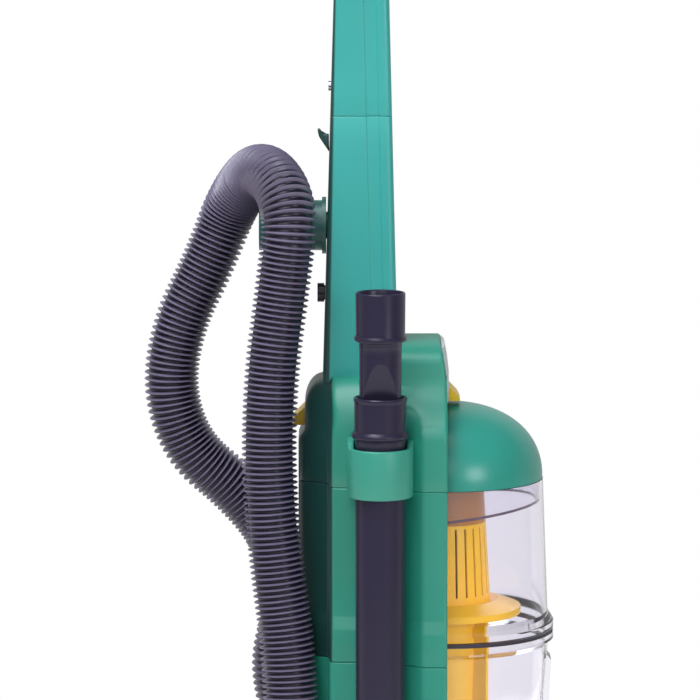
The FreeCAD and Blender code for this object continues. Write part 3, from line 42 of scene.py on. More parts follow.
# Studio: a pale floor in a white room, lit by six soft boxes, of which the strongest hangs overhead.
# The camera stands four metres off on the machine's right-hand side and looks a little down on it,
# through a long lens that takes in the middle of the machine.
view_target = Vector((-0.111, 0.0, 0.657))
view_tilt = math.radians(7.85)
view_distance = 3.989
sensor_width, focal_share, far_clip = 36.0, 5390 / 700, 60.0
floor_reach, floor_corners = 1.9, 96
floor_colour, floor_roughness, floor_gloss = (0.86, 0.82, 0.79, 1.0), 0.8, 0.1
floor_fade, floor_glow_near, floor_glow_far = (0.9, 1.8), 0.25, 0.9
white = (1.0, 1.0, 1.0, 1.0)
soft_boxes = {
    "overhead_soft_box": ((-0.75, -0.9, 2.3), 1.3, 26.0, True),
    "top_soft_box": ((-0.45, -0.15, 2.5), 0.7, 13.0, True),
    "front_soft_box": ((-0.4, -2.1, 1.8), 1.4, 9.0, True),
    "right_soft_box": ((1.25, -1.85, 1.1), 0.7, 11.0, True),
    "left_soft_box": ((-2.2, -1.4, 1.2), 1.2, 3.0, False),
    "rear_soft_box": ((0.3, 2.4, 2.0), 1.6, 14.0, False)}
lamp_colour = (0.90, 0.95, 1.0)
room_level, room_gloss_ahead, room_gloss_behind = 0.17, 0.12, 0.55
room_turn_low, room_turn_high, room_lean = -0.10, 0.35, -0.9


def linear(red, green, blue):
    """A screen colour from 0 to 255 as linear light: ((c + 0.055) / 1.055) to the power 2.4."""
    share = np.array([red, green, blue]) / 255
    return (*(((share + 0.055) / 1.055) ** 2.4), 1.0)


def add_node(tree, kind, **settings):
    """A shader node. Each setting is one of its attributes, or else an input, with _ for a space."""
    node = tree.nodes.new("ShaderNode" + kind)
    for key, value in settings.items():
        if hasattr(node, key):
            setattr(node, key, value)
        else:
            node.inputs[key.replace("_", " ")].default_value = value
    return node


def new_material(name):
    """A material with its node tree, its Principled shader and a Texture Coordinate node."""
    material = bpy.data.materials.new(name)
    material.use_nodes = True
    tree = material.node_tree
    return material, tree, tree.nodes["Principled BSDF"], add_node(tree, "TexCoord")


for lamp_name, (lamp_place, lamp_size, lamp_power, lamp_mirrored) in soft_boxes.items():
    lamp = bpy.data.lights.new(lamp_name, "AREA")
    lamp.size = lamp_size
    lamp.energy = lamp_power
    lamp.color = lamp_colour
    lamp_holder = bpy.data.objects.new(lamp_name, lamp)
    bpy.context.scene.collection.objects.link(lamp_holder)
    lamp_holder.location = lamp_place
    lamp_holder.visible_glossy = lamp_mirrored
    towards = view_target - Vector(lamp_place)
    lamp_holder.rotation_euler = towards.to_track_quat("-Z", "Y").to_euler()

world = bpy.data.worlds.new("white_room")
bpy.context.scene.world = world
world.use_nodes = True
world_tree = world.node_tree
room_light = world_tree.nodes["Background"]
room_light.inputs["Strength"].default_value = room_level
room_seen = add_node(world_tree, "Background")
for background in (room_light, room_seen):
    background.inputs["Color"].default_value = white
ray = add_node(world_tree, "LightPath")
eye_or_glass = add_node(world_tree, "Math", operation="MAXIMUM")
world_tree.links.new(ray.outputs["Is Camera Ray"], eye_or_glass.inputs[0])
world_tree.links.new(ray.outputs["Is Transmission Ray"], eye_or_glass.inputs[1])
or_gloss = add_node(world_tree, "Math", operation="MAXIMUM")
world_tree.links.new(eye_or_glass.outputs[0], or_gloss.inputs[0])
world_tree.links.new(ray.outputs["Is Glossy Ray"], or_gloss.inputs[1])
sky_way = add_node(world_tree, "TexCoord")
sky_split = add_node(world_tree, "SeparateXYZ")
world_tree.links.new(sky_way.outputs["Generated"], sky_split.inputs[0])
behind_and_low = add_node(world_tree, "Math", operation="MULTIPLY_ADD")
behind_and_low.inputs[1].default_value = room_lean
world_tree.links.new(sky_split.outputs["Z"], behind_and_low.inputs[0])
world_tree.links.new(sky_split.outputs["Y"], behind_and_low.inputs[2])
backdrop = add_node(world_tree, "MapRange", From_Min=room_turn_low, From_Max=room_turn_high,
                    To_Min=room_gloss_ahead, To_Max=room_gloss_behind)
world_tree.links.new(behind_and_low.outputs[0], backdrop.inputs["Value"])
seen_level = add_node(world_tree, "Math", operation="MAXIMUM")
world_tree.links.new(eye_or_glass.outputs[0], seen_level.inputs[0])
world_tree.links.new(backdrop.outputs["Result"], seen_level.inputs[1])
world_tree.links.new(seen_level.outputs[0], room_seen.inputs["Strength"])
room_mix = add_node(world_tree, "MixShader")
world_tree.links.new(or_gloss.outputs[0], room_mix.inputs["Fac"])
world_tree.links.new(room_light.outputs[0], room_mix.inputs[1])
world_tree.links.new(room_seen.outputs[0], room_mix.inputs[2])
world_tree.links.new(room_mix.outputs[0], world_tree.nodes["World Output"].inputs["Surface"])

floor_mesh = bpy.data.meshes.new("studio_floor")
floor_turn = np.linspace(0, 2 * np.pi, floor_corners, endpoint=False)
floor_rim = floor_reach * np.stack([np.cos(floor_turn), np.sin(floor_turn), 0 * floor_turn], -1)
floor_mesh.from_pydata(floor_rim.tolist(), [], [list(range(floor_corners))])
floor = bpy.data.objects.new("studio_floor", floor_mesh)
bpy.context.scene.collection.objects.link(floor)
floor_paint, floor_tree, floor_skin, floor_place = new_material("floor_paint")
floor_skin.inputs["Base Color"].default_value = floor_colour
floor_skin.inputs["Roughness"].default_value = floor_roughness
floor_skin.inputs["Specular IOR Level"].default_value = floor_gloss
floor_skin.inputs["Emission Color"].default_value = white
floor_away = add_node(floor_tree, "VectorMath", operation="LENGTH")
floor_tree.links.new(floor_place.outputs["Object"], floor_away.inputs[0])
floor_glow = add_node(floor_tree, "MapRange", From_Min=floor_fade[0], From_Max=floor_fade[1],
                      To_Min=floor_glow_near, To_Max=floor_glow_far)
floor_tree.links.new(floor_away.outputs["Value"], floor_glow.inputs["Value"])
floor_tree.links.new(floor_glow.outputs["Result"], floor_skin.inputs["Emission Strength"])
floor_mesh.materials.append(floor_paint)

camera_data = bpy.data.cameras.new("studio_camera")
camera_data.sensor_width = sensor_width
camera_data.lens = sensor_width * focal_share
camera_data.clip_end = far_clip
camera = bpy.data.objects.new("studio_camera", camera_data)
bpy.context.scene.collection.objects.link(camera)
view_direction = Vector((0.0, math.cos(view_tilt), -math.sin(view_tilt)))
camera.location = view_target - view_distance * view_direction
camera.rotation_euler = (math.pi / 2 - view_tilt, 0.0, 0.0)
bpy.context.scene.camera = camera
bpy.context.scene.view_settings.view_transform = "Standard"

# Hose: a stretch hose of thin moulded discs, black with a purple tinge, over the hook on the neck.
# Its two ends are glued into cuffs that push into the ports at the machine's back.
port_x, port_y, hose_end = -154.0, 59.0, 311.0
hose_route = [
    (port_x, -port_y, hose_end), (port_x, -port_y, 385.0), (-156.0, -54.0, 440.0), (-165.0, -50.0, 505.0),
    (-171.0, -47.0, 575.0), (-169.0, -45.0, 645.0), (-160.0, -42.0, 712.0), (-153.0, -43.0, 770.0),
    (-175.0, -2.5, 797.0), (-197.0, 38.0, 768.0), (-216.0, 40.0, 718.0), (-239.0, 40.0, 672.0),
    (-247.0, 40.0, 622.0), (-232.0, 42.0, 576.0), (-196.0, 47.0, 546.0), (-165.0, 51.0, 508.0),
    (-155.0, 55.0, 455.0), (-166.0, 57.5, 418.0), (-163.5, 58.5, 388.0), (port_x, port_y, 364.0),
    (port_x, port_y, hose_end)]
hose_radius, hose_groove, hose_bore = 20.4, 17.0, 15.5
hose_pitch, hose_plain, hose_columns, bore_rows = 4.3, 8.0, 36, 220
cuff_low, cuff_top, cuff_radius, cuff_rib, cuff_rib_low, cuff_rib_pitch = 265.0, 311.0, 22.0, 1.2, 290.6, 5.0
merge_distance = 0.002 * MM


def lattice(grid, around=False, along=False):
    """Points and quads through a grid. `around` joins its last column to its first, `along` its rows."""
    rows, columns = grid.shape[:2]
    i, j = np.meshgrid(np.arange(rows - (not along)), np.arange(columns - (not around)), indexing="ij")
    below, beside = (i + 1) % rows, (j + 1) % columns
    quads = np.stack([i * columns + j, i * columns + beside, below * columns + beside, below * columns + j], -1)
    return grid.reshape(-1, 3), quads.reshape(-1, 4).tolist()


def capped(grid):
    """A lattice that joins round, with one flat face over its first row and one over its last."""
    points, faces = lattice(grid, around=True)
    columns = grid.shape[1]
    last = len(points) - columns
    return points, faces + [list(range(columns))[::-1], list(range(last, last + columns))]


def make_piece(name, parts, body, material, replaced=(), crease=32.0):
    """One object from lattices in millimetres: doubles merged, faces outward, smooth up to the crease."""
    starts = np.cumsum([0] + [len(points) for points, faces in parts[:-1]])
    places = np.concatenate([points for points, faces in parts]) * MM
    faces = [[corner + int(start) for corner in face] for start, part in zip(starts, parts) for face in part[1]]
    mesh = bpy.data.meshes.new(name)
    mesh.from_pydata(places.tolist(), [], faces)
    work = bmesh.new()
    work.from_mesh(mesh)
    bmesh.ops.remove_doubles(work, verts=work.verts, dist=merge_distance)
    bmesh.ops.dissolve_degenerate(work, edges=work.edges, dist=merge_distance)
    bmesh.ops.recalc_face_normals(work, faces=work.faces)
    work.to_mesh(mesh)
    work.free()
    mesh.polygons.foreach_set("use_smooth", [polygon.loop_total < 5 for polygon in mesh.polygons])
    mesh.set_sharp_from_angle(angle=math.radians(crease))
    mesh.materials.append(material)
    piece = bpy.data.objects.new(name, mesh)
    bpy.context.scene.collection.objects.link(piece)
    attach(piece, body)
    if replaced:
        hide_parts(*replaced)
    return piece


def moulded(name, colour, roughness=0.35, grain=0.10, grain_scale=1300.0, spread=0.07, gloss=0.5):
    """Moulded plastic: a faint cloud of lighter and darker colour, a roughness that drifts with it,
    and a fine pebbled grain as bump, all on Object coordinates."""
    material, tree, skin, place = new_material(name)
    skin.inputs["Specular IOR Level"].default_value = gloss
    cloud = add_node(tree, "TexNoise", Scale=9.0, Detail=4.0, Roughness=0.55)
    tree.links.new(place.outputs["Object"], cloud.inputs["Vector"])
    tone = add_node(tree, "ValToRGB")
    tone.color_ramp.elements[0].position = 0.30
    tone.color_ramp.elements[1].position = 0.72
    base = np.array(colour[:3])
    tone.color_ramp.elements[0].color = (*(base * (1 - spread)), 1.0)
    tone.color_ramp.elements[1].color = (*np.minimum(base * (1 + spread), 1.0), 1.0)
    tree.links.new(cloud.outputs["Fac"], tone.inputs["Fac"])
    tree.links.new(tone.outputs["Color"], skin.inputs["Base Color"])
    drift = add_node(tree, "MapRange", From_Min=0.3, From_Max=0.7, To_Min=roughness * 0.88,
                     To_Max=roughness * 1.12)
    tree.links.new(cloud.outputs["Fac"], drift.inputs["Value"])
    tree.links.new(drift.outputs["Result"], skin.inputs["Roughness"])
    pebbles = add_node(tree, "TexNoise", Scale=grain_scale, Detail=2.0, Roughness=0.5)
    tree.links.new(place.outputs["Object"], pebbles.inputs["Vector"])
    bump = add_node(tree, "Bump", Strength=grain, Distance=0.0002)
    tree.links.new(pebbles.outputs["Fac"], bump.inputs["Height"])
    tree.links.new(bump.outputs["Normal"], skin.inputs["Normal"])
    return material


def route_line(name, points, steps):
    """Places along the NURBS curve of order 3 that has the route's points as its control points."""
    curve = bpy.data.curves.new(name, "CURVE")
    curve.dimensions = "3D"
    spline = curve.splines.new("NURBS")
    spline.points.add(len(points) - 1)
    for control, point in zip(spline.points, points):
        control.co = (*(np.array(point) * MM), 1.0)
    spline.order_u = 3
    spline.use_endpoint_u = True
    spline.resolution_u = steps
    holder = bpy.data.objects.new(name, curve)
    flat = bpy.data.meshes.new_from_object(holder)
    places = np.zeros(len(flat.vertices) * 3)
    flat.vertices.foreach_get("co", places)
    bpy.data.objects.remove(holder)
    bpy.data.meshes.remove(flat)
    places = places.reshape(-1, 3)
    apart = np.linalg.norm(np.diff(places, axis=0), axis=1) > 1e-5
    return places[np.concatenate([[True], apart])]


def tube_rows(line, distances, radii, segments, across):
    """Circles about a line: place + r (cos a times side + sin a times up), side held to one axis."""
    run = np.concatenate([[0.0], np.cumsum(np.linalg.norm(np.diff(line, axis=0), axis=1))])
    place = np.stack([np.interp(distances, run, line[:, axis]) for axis in range(3)], -1)
    slope = np.gradient(line, run, axis=0)
    slope = np.stack([np.interp(distances, run, slope[:, axis]) for axis in range(3)], -1)
    slope /= np.linalg.norm(slope, axis=1, keepdims=True)
    side = np.array(across) - slope * (slope @ np.array(across))[:, None]
    side /= np.linalg.norm(side, axis=1, keepdims=True)
    up = np.cross(slope, side)
    angle = np.linspace(0, 2 * np.pi, segments, endpoint=False)
    ring = np.cos(angle)[None, :, None] * side[:, None] + np.sin(angle)[None, :, None] * up[:, None]
    return place[:, None] + np.broadcast_to(radii, distances.shape)[:, None, None] * ring


hose_path = route_line("hose_line", hose_route, 16)
hose_line = hose_path / MM
hose_length = float(np.linalg.norm(np.diff(hose_line, axis=0), axis=1).sum())
hose_discs = int(round((hose_length - 2 * hose_plain) / hose_pitch))
disc_share = np.array([0.0, 0.26, 0.40, 0.50, 0.60, 0.74])
disc_rise = np.array([0.0, 0.10, 0.84, 1.0, 0.84, 0.10])
disc_run = hose_plain + (hose_length - 2 * hose_plain) * (
    (np.arange(hose_discs)[:, None] + disc_share) / hose_discs).ravel()
hose_run = np.concatenate([[0.0], disc_run, [hose_length - hose_plain, hose_length]])
hose_radii = hose_groove + (hose_radius - hose_groove) * np.concatenate(
    [[0.0], np.tile(disc_rise, hose_discs), [0.0, 0.0]])
bore_run = np.linspace(hose_length, 0.0, bore_rows)
hose_skin = np.concatenate([tube_rows(hose_line, hose_run, hose_radii, hose_columns, (1.0, 0.0, 0.0)),
                            tube_rows(hose_line, bore_run, hose_bore, hose_columns, (1.0, 0.0, 0.0))])
hose_plastic = moulded("hose_plastic", linear(58, 53, 72), roughness=0.30, grain=0.04)
hose = make_piece("ribbed_hose", [lattice(hose_skin, around=True, along=True)], "upright",
                  hose_plastic, replaced=["hose"], crease=60.0)

# the discs' crests are painted pale, a painted highlight, and the grooves between them painted dark, a painted shade;
# their rise carries the mask as an attribute
disc_height = np.repeat(np.clip((np.concatenate([hose_radii, 0 * bore_run]) - hose_groove)
                                / (hose_radius - hose_groove), 0, 1), hose_columns)
rise_layer = hose.data.attributes.new("disc_rise", "FLOAT", "POINT")
rise_layer.data.foreach_set("value", disc_height)
tree = hose_plastic.node_tree
skin = tree.nodes["Principled BSDF"]
rise = add_node(tree, "Attribute", attribute_name="disc_rise")
# painted shade in the grooves between the discs, painted highlight on their crests
painted_rib_light = add_node(tree, "ValToRGB")
painted_rib_light.color_ramp.elements[0].position = 0.05
painted_rib_light.color_ramp.elements[0].color = linear(30, 23, 44)
painted_rib_light.color_ramp.elements[1].position = 0.38
painted_rib_light.color_ramp.elements[1].color = linear(120, 111, 134)
tree.links.new(rise.outputs["Fac"], painted_rib_light.inputs["Fac"])
tree.links.new(painted_rib_light.outputs["Color"], skin.inputs["Base Color"])


def turned(profile, centre, segments=64):
    """Circles of (radius, height) turned about an upright axis: centre + r (cos a, sin a), height."""
    radius, height = np.array(profile, float).T
    angle = np.linspace(0, 2 * np.pi, segments, endpoint=False)
    x = centre[0] + radius[:, None] * np.cos(angle)
    y = centre[1] + radius[:, None] * np.sin(angle)
    return np.stack([x, y, np.broadcast_to(height[:, None], x.shape)], -1)


cuff_ribs = [(rise, cuff_rib_low + cuff_rib_pitch * step + up) for step in range(3)
             for rise, up in ((0.0, 0.0), (cuff_rib, 0.6), (cuff_rib, 2.2), (0.0, 2.8))]
cuff_profile = [(hose_bore, cuff_low), (cuff_radius - 0.8, cuff_low), (cuff_radius, cuff_low + 0.8)]
cuff_profile += [(cuff_radius + rise, height) for rise, height in cuff_ribs]
cuff_profile += [(cuff_radius, cuff_top - 1.5), (cuff_radius - 1.5, cuff_top), (hose_bore, cuff_top)]
black_plastic = moulded("black_plastic", linear(40, 38, 46), roughness=0.32, grain=0.12)
hose_cuffs = make_piece(
    "hose_end_cuffs", [lattice(turned(cuff_profile, (port_x, side * port_y)), around=True, along=True)
                       for side in (-1, 1)], "upright", black_plastic, replaced=["hose_cuffs"])

# Housings: three shells of teal plastic, screwed together from behind. They wrap round the cup as a
# deep C, step out below a sloping band, and draw in at the shoulder, with a flared head in front.
cup_x = -40.0
recess, flange_recess, lower_front = 78.0, 81.5, 84.0
lower_seam, band_low, band_high, upper_seam = 435.0, 459.0, 469.0, 564.2
recess_step, dome_foot, dome_rise, dome_power = 466.4, 562.0, 64.0, 2.25
shoulder_low, shoulder_high, flare_low, flare_high, head_high = 601.0, 641.5, 598.0, 649.0, 667.0
side_half, head_half, shoulder_inset, band_out = 86.0, 50.0, 36.0, 3.5
front_x, slant_x, flank_x, step_x, rear_x = -58.0, -82.0, -126.0, -127.0, -149.0
slant_half, flank_half, step_half, rear_half = 68.0, 64.0, 45.0, 29.0
head_back, head_arch, head_power, seam_round = -86.0, 647.0, 3.0, 1.0
head_low, head_skin, head_rows, head_steps = 612.0, 1.0, 10, 7
head_slant_x, head_side_x, head_rear_half = -72.0, -60.0, 66.0
rear_ledge_low, rear_ledge_high, rear_ledge = 594.0, 603.0, 4.5
rear_round_low, rear_round_high, rear_round = 615.0, 638.0, 13.5


def rounded_chain(corners, cuts, steps=5):
    """Each inner corner c of a chain becomes (1 - t)^2 a + 2 t (1 - t) c + t^2 b, where a and b lie a
    cut away from c along its two runs, or half a run where that is less. One chain a row."""
    here = corners[:, 1:-1]
    t = np.linspace(0, 1, steps)[None, None, :, None]
    ends = []
    for other in (corners[:, :-2], corners[:, 2:]):
        run = np.linalg.norm(other - here, axis=-1, keepdims=True)
        ends.append(here + (other - here) * np.minimum(cuts[..., None] / np.maximum(run, 1e-6), 0.5))
    before, after = ends[0][:, :, None], ends[1][:, :, None]
    curve = (1 - t) ** 2 * before + 2 * t * (1 - t) * here[:, :, None] + t ** 2 * after
    return np.concatenate([corners[:, :1], curve.reshape(len(corners), -1, 2), corners[:, -1:]], axis=1)


def rounded_loop(corners, cuts, steps=5):
    """The same for a closed chain: every corner is rounded."""
    around = np.concatenate([corners[:, -1:], corners, corners[:, :1]], axis=1)
    cuts = np.broadcast_to(np.asarray(cuts, float), corners.shape[:2])
    return rounded_chain(around, cuts, steps)[:, 1:-1]


def drawn_in(outline, inset):
    """Closed outlines moved inwards: each point goes by inset against the normal of its neighbours' run."""
    run = np.roll(outline, -1, axis=1) - np.roll(outline, 1, axis=1)
    length = np.maximum(np.linalg.norm(run, axis=-1, keepdims=True), 1e-6)
    normal = np.stack([-run[..., 1], run[..., 0]], -1) / length
    x, y = outline[..., 0], outline[..., 1]
    area = x * np.roll(y, -1, 1) - np.roll(x, -1, 1) * y
    turn = np.where(area.sum(1) > 0, -1.0, 1.0)[:, None, None]
    return outline - normal * turn * np.asarray(inset, float).reshape(-1, 1, 1)


def standing(outline, height):
    """Level outlines at their heights, as a grid of places."""
    height = np.broadcast_to(np.asarray(height, float)[:, None, None], (*outline.shape[:2], 1))
    return np.concatenate([outline, height], axis=-1)


def edged(low, high, radius, steps=4):
    """Heights from low to high with the insets of a quarter circle at both ends."""
    angle = np.linspace(0, np.pi / 2, steps)
    rise = radius * (1 - np.cos(angle))
    inset = radius * (1 - np.sin(angle))
    return (np.concatenate([low + rise, high - rise[::-1]]), np.concatenate([inset, inset[::-1]]))


def panel_half(height):
    """Half the width of the front: 86, then 86 - 36 s^3 (10 - 15 s + 6 s^2) over the flare's height."""
    share = np.clip((height - flare_low) / (flare_high - flare_low), 0, 1)
    return side_half - (side_half - head_half) * share ** 3 * (10 - 15 * share + 6 * share ** 2)


def housing_outline(height, out, inset, hollow, front_arc=False):
    """The plan of the housing: panel, slanted corner, flank, step and rear on both sides, then the
    round of the cup's recess, or the round front of the base. `out` grows it, `inset` is the shoulder."""
    half = panel_half(height)
    climb = np.clip((height - rear_round_low) / (rear_round_high - rear_round_low), 0, 1)
    ledge = np.clip((height - rear_ledge_low) / (rear_ledge_high - rear_ledge_low), 0, 1)
    turn = rear_round * (1 - np.sqrt(1 - climb ** 2))
    rear = turn + rear_ledge * ledge ** 2 * (3 - 2 * ledge)
    bow = 3.0 * np.exp(-((height - 614) / 15) ** 2) + 0.1 * inset
    side = [(cup_x + 0 * half, half + out), (front_x + 0 * half, half - 0.5 + out),
            (slant_x + 0 * half, slant_half + out - 0.72 * inset), (flank_x + bow, flank_half + out - 0.72 * inset),
            (step_x + bow, step_half + out - 0.36 * inset - 0.2 * turn),
            (rear_x - out + rear, rear_half + 0.5 * out - 0.9 * turn)]
    side = np.stack([np.stack(corner, -1) for corner in side], axis=1)
    tip = np.stack([cup_x + 0 * half, hollow], -1)[:, None]
    left = np.concatenate([tip, side], axis=1)
    right = left * np.array([1.0, -1.0])
    cuts = np.stack([0 * half + cut for cut in (2.5, 2.5, 4.0, 4.0, 2.0, 5.0)], -1)
    chain = rounded_chain(np.concatenate([right, left[:, ::-1]], axis=1),
                          np.concatenate([cuts, cuts[:, ::-1]], axis=1))
    angle = np.linspace(90, -90 if front_arc else 270, 46)[1:-1] * np.pi / 180
    arc = np.stack([cup_x + hollow[:, None] * np.cos(angle), hollow[:, None] * np.sin(angle)], -1)
    return np.concatenate([chain, arc], axis=1)


def shell(height, edge, out=0.0, inset=0.0, hollow=recess):
    """A capped stack of housing outlines at the given heights, drawn in by edge at its rims."""
    height, out, inset, hollow, edge = np.broadcast_arrays(
        *(np.asarray(value, float) for value in (height, out, inset, hollow, edge)))
    outline = drawn_in(housing_outline(height, out, inset, hollow), edge)
    return capped(standing(outline, height))


def teal(name, colour, shade_behind=None, lean=0.0, roughness=0.40):
    """Teal moulded plastic, painted darker behind X = limit + lean times Z, in metres: painted shade."""
    material = moulded(name, colour, roughness=roughness, grain=0.12, spread=0.05, gloss=0.7)
    if shade_behind is not None:
        tree = material.node_tree
        skin = tree.nodes["Principled BSDF"]
        bright = skin.inputs["Base Color"].links[0].from_socket
        place = add_node(tree, "TexCoord")
        split = add_node(tree, "SeparateXYZ")
        tree.links.new(place.outputs["Object"], split.inputs[0])
        leaned = add_node(tree, "Math", operation="MULTIPLY_ADD")
        leaned.inputs[1].default_value = -lean
        tree.links.new(split.outputs["Z"], leaned.inputs[0])
        tree.links.new(split.outputs["X"], leaned.inputs[2])
        share = add_node(tree, "MapRange", From_Min=shade_behind - 0.0006, From_Max=shade_behind + 0.0006)
        tree.links.new(leaned.outputs[0], share.inputs["Value"])
        mix = add_node(tree, "Mix", data_type="RGBA")
        # painted shade: the darker teal behind the line
        mix.inputs["A"].default_value = linear(22, 70, 66)
        tree.links.new(share.outputs["Result"], mix.inputs["Factor"])
        tree.links.new(bright, mix.inputs["B"])
        tree.links.new(mix.outputs["Result"], skin.inputs["Base Color"])
    return material


# the recessed rear strip behind X = -124 mm is painted darker: painted shade from the hose and from its turn away from
# the lamps
housing_plastic = teal("housing_plastic", linear(40, 149, 126), shade_behind=-0.1240)

sweep = np.linspace(0, np.pi / 2, 30)
round_heights = shoulder_low + (shoulder_high - shoulder_low) * np.sin(sweep)
below_shoulder = np.concatenate([upper_seam + seam_round * np.array([0, 0.3, 1]), [575.0, 588.0, 594.0, 597.0]])
upper_heights = np.concatenate([below_shoulder, round_heights])
upper_edges = np.concatenate([seam_round * np.array([1, 0.3, 0]), np.zeros(len(upper_heights) - 3)])
upper_insets = np.concatenate([0 * below_shoulder, shoulder_inset * (1 - np.cos(sweep))])
dome_share = np.clip((upper_heights - dome_foot) / dome_rise, 0, 1)
upper_hollow = recess * (1 - dome_share ** dome_power) ** (1 / dome_power)
upper_body = shell(upper_heights, upper_edges, inset=upper_insets, hollow=upper_hollow)

# the head is hollow over the lid's dome, a little more than the shell about it, and arched on top
arch = np.linspace(0.1, 0.97, 22) * np.pi / 2
foot_turn = np.arcsin(((head_low - dome_foot) / (dome_rise + head_skin)) ** (dome_power / 2))
head_turn = np.linspace(foot_turn, np.pi / 2, head_rows)
head_heights = np.concatenate([dome_foot + (dome_rise + head_skin) * np.sin(head_turn) ** (2 / dome_power),
                               np.arange(631.0, head_arch, 4),
                               head_arch + (head_high - head_arch) * np.sin(arch) ** (2 / head_power)])
head_share = np.clip((head_heights - head_arch) / (head_high - head_arch), 0, 1)
head_side = (panel_half(head_heights) - 0.15) * (1 - head_share ** head_power) ** (1 / head_power)
head_rear = np.minimum(head_side, head_rear_half)
head_front = cup_x - 0.15 - 4.5 * np.clip((head_heights - 630) / 37, 0, 1) ** 2 - 1.5 * head_share ** 12
head_corners = [(head_back + 0 * head_side, -head_rear), (head_slant_x + 0 * head_side, -head_rear),
                (head_side_x + 0 * head_side, -head_side), (head_front, -head_side)]
head_corners = np.stack([np.stack(corner, -1) for corner in head_corners], axis=1)
head_corners = np.concatenate([head_corners, head_corners[:, ::-1] * np.array([1.0, -1.0])], axis=1)
head_outline = rounded_loop(head_corners, [2.0, 5.0, 5.0, 2.5, 2.5, 5.0, 5.0, 2.0], head_steps)
head_hollow = np.zeros((len(head_heights), 1))
head_hollow[:head_rows, 0] = (recess + head_skin) * np.abs(np.cos(head_turn)) ** (2 / dome_power)
around = np.linspace(-90, -270, 34) * np.pi / 180
head_room = np.stack([np.minimum(cup_x + head_hollow * np.cos(around), head_front[:, None]),
                      head_hollow * np.sin(around)], -1)
right_side = 4 * head_steps
head_outline = np.concatenate([head_outline[:, :right_side], head_room, head_outline[:, right_side:]], axis=1)
head = capped(standing(head_outline, head_heights))
make_piece("upper_shell", [upper_body, head], "upright", housing_plastic,
           replaced=["upper_housing"])

mid_heights = np.concatenate([lower_seam + seam_round * np.array([0, 0.3, 1]), [447.0, band_low],
                              np.linspace(band_low, band_high, 9)[1:7], [recess_step, recess_step + 0.01],
                              [band_high - 0.6, band_high, 500.0, 532.0],
                              upper_seam - seam_round * np.array([1, 0.3, 0])])
mid_heights = np.sort(mid_heights)
mid_out = band_out * np.clip((band_high - mid_heights) / (band_high - band_low), 0, 1)
mid_edges = np.clip(np.abs(mid_heights - (lower_seam + upper_seam) / 2)
                    - (upper_seam - lower_seam) / 2 + seam_round, 0, seam_round)
mid_shell = shell(mid_heights, mid_edges, out=mid_out,
                  hollow=np.where(mid_heights > recess_step, recess, flange_recess))
make_piece("mid_shell", [mid_shell], "upright", housing_plastic, replaced=["mid_housing"])

# Lower housing: one deep moulding that carries the cup's seat, the two hose ports behind, and the
# barrel round the motor, on whose hollow pins the machine reclines. Louvres let the air out in front.
seat_top, base_low, base_round, lip_height = 258.0, 118.0, 5.0, 200.0
front_profile = ([118, 122, 128, 138, 150, 160, 170], [-10, 4, 16, 29, 37.5, 42, 44])
rear_profile = ([118, 145, 170, 200, 226, 240], [-100, -119, -136, -146, -151.5, -152.5])
pivot_x, pivot_z, barrel_radius, barrel_half = -60.0, 90.0, 60.0, 88.5
shelf_low, shelf_high, shelf_edge = (-179.2, -84.2, 228.0), (-124.0, 84.2, 262.0), 3.0
port_top = 285.0
grille_low, grille_high, grille_turn = 176.0, 236.0, math.radians(34.0)
louvre_count = 9


def cross_turned(profile, centre, segments=72):
    """Circles of (radius, y) turned about an axis along Y: centre + r (cos a, sin a) in X and Z."""
    radius, y = np.array(profile, float).T
    angle = np.linspace(0, 2 * np.pi, segments, endpoint=False)
    x = centre[0] + radius[:, None] * np.cos(angle)
    z = centre[1] + radius[:, None] * np.sin(angle)
    return np.stack([x, np.broadcast_to(y[:, None], x.shape), z], -1)


def arc_bar(section, reach, steps=40):
    """A closed section of (radius, height) carried round the cup's axis from -reach to +reach."""
    radius, height = np.array(section, float).T
    angle = np.linspace(-reach, reach, steps)[:, None]
    x = cup_x + radius * np.cos(angle)
    return capped(np.stack([x, radius * np.sin(angle), np.broadcast_to(height, x.shape)], -1))


def block(low, high, edge):
    """A block with quarter-round edges: rounded rectangles stacked upwards."""
    height, inset = edged(low[2], high[2], edge)
    corners = np.array([(low[0], low[1]), (high[0], low[1]), (high[0], high[1]), (low[0], high[1])])
    outline = rounded_loop(np.broadcast_to(corners, (len(height), 4, 2)), edge, 4)
    return capped(standing(drawn_in(outline, inset), height))


wrap_heights, wrap_edges = edged(seat_top, lower_seam, seam_round)
wrap = shell(wrap_heights, wrap_edges, out=band_out, hollow=flange_recess)
base_heights = edged(base_low, seat_top, base_round, 7)[0]
base_heights = np.sort(np.concatenate([base_heights, np.linspace(124, 252, 24)]))
base_edges = np.interp(base_heights, *edged(base_low, seat_top, base_round, 12))
base_edges = np.where(base_heights > lip_height, base_edges * 0.2, base_edges)
base_hollow = np.full(base_heights.shape, lower_front)
base_outline = housing_outline(base_heights, band_out + 0 * base_heights, 0 * base_heights, base_hollow, True)
front_scale = (np.interp(base_heights, *front_profile) - cup_x) / lower_front
rear_scale = (np.interp(base_heights, *rear_profile) - cup_x) / (rear_x - band_out - cup_x)
ahead = base_outline[..., :1] > cup_x
scale = np.where(ahead, front_scale[:, None, None], rear_scale[:, None, None])
base_outline[..., :1] = cup_x + (base_outline[..., :1] - cup_x) * scale
base = capped(standing(drawn_in(base_outline, base_edges), base_heights))
barrel_y, barrel_inset = edged(-barrel_half, barrel_half, 6.0, 7)
barrel = capped(cross_turned(np.stack([barrel_radius - barrel_inset, barrel_y], -1), (pivot_x, pivot_z)))
hollow_pin = [(15.0, 86.0), (20.0, 86.0), (20.0, 104.0), (19.5, 104.5), (15.0, 104.5)]
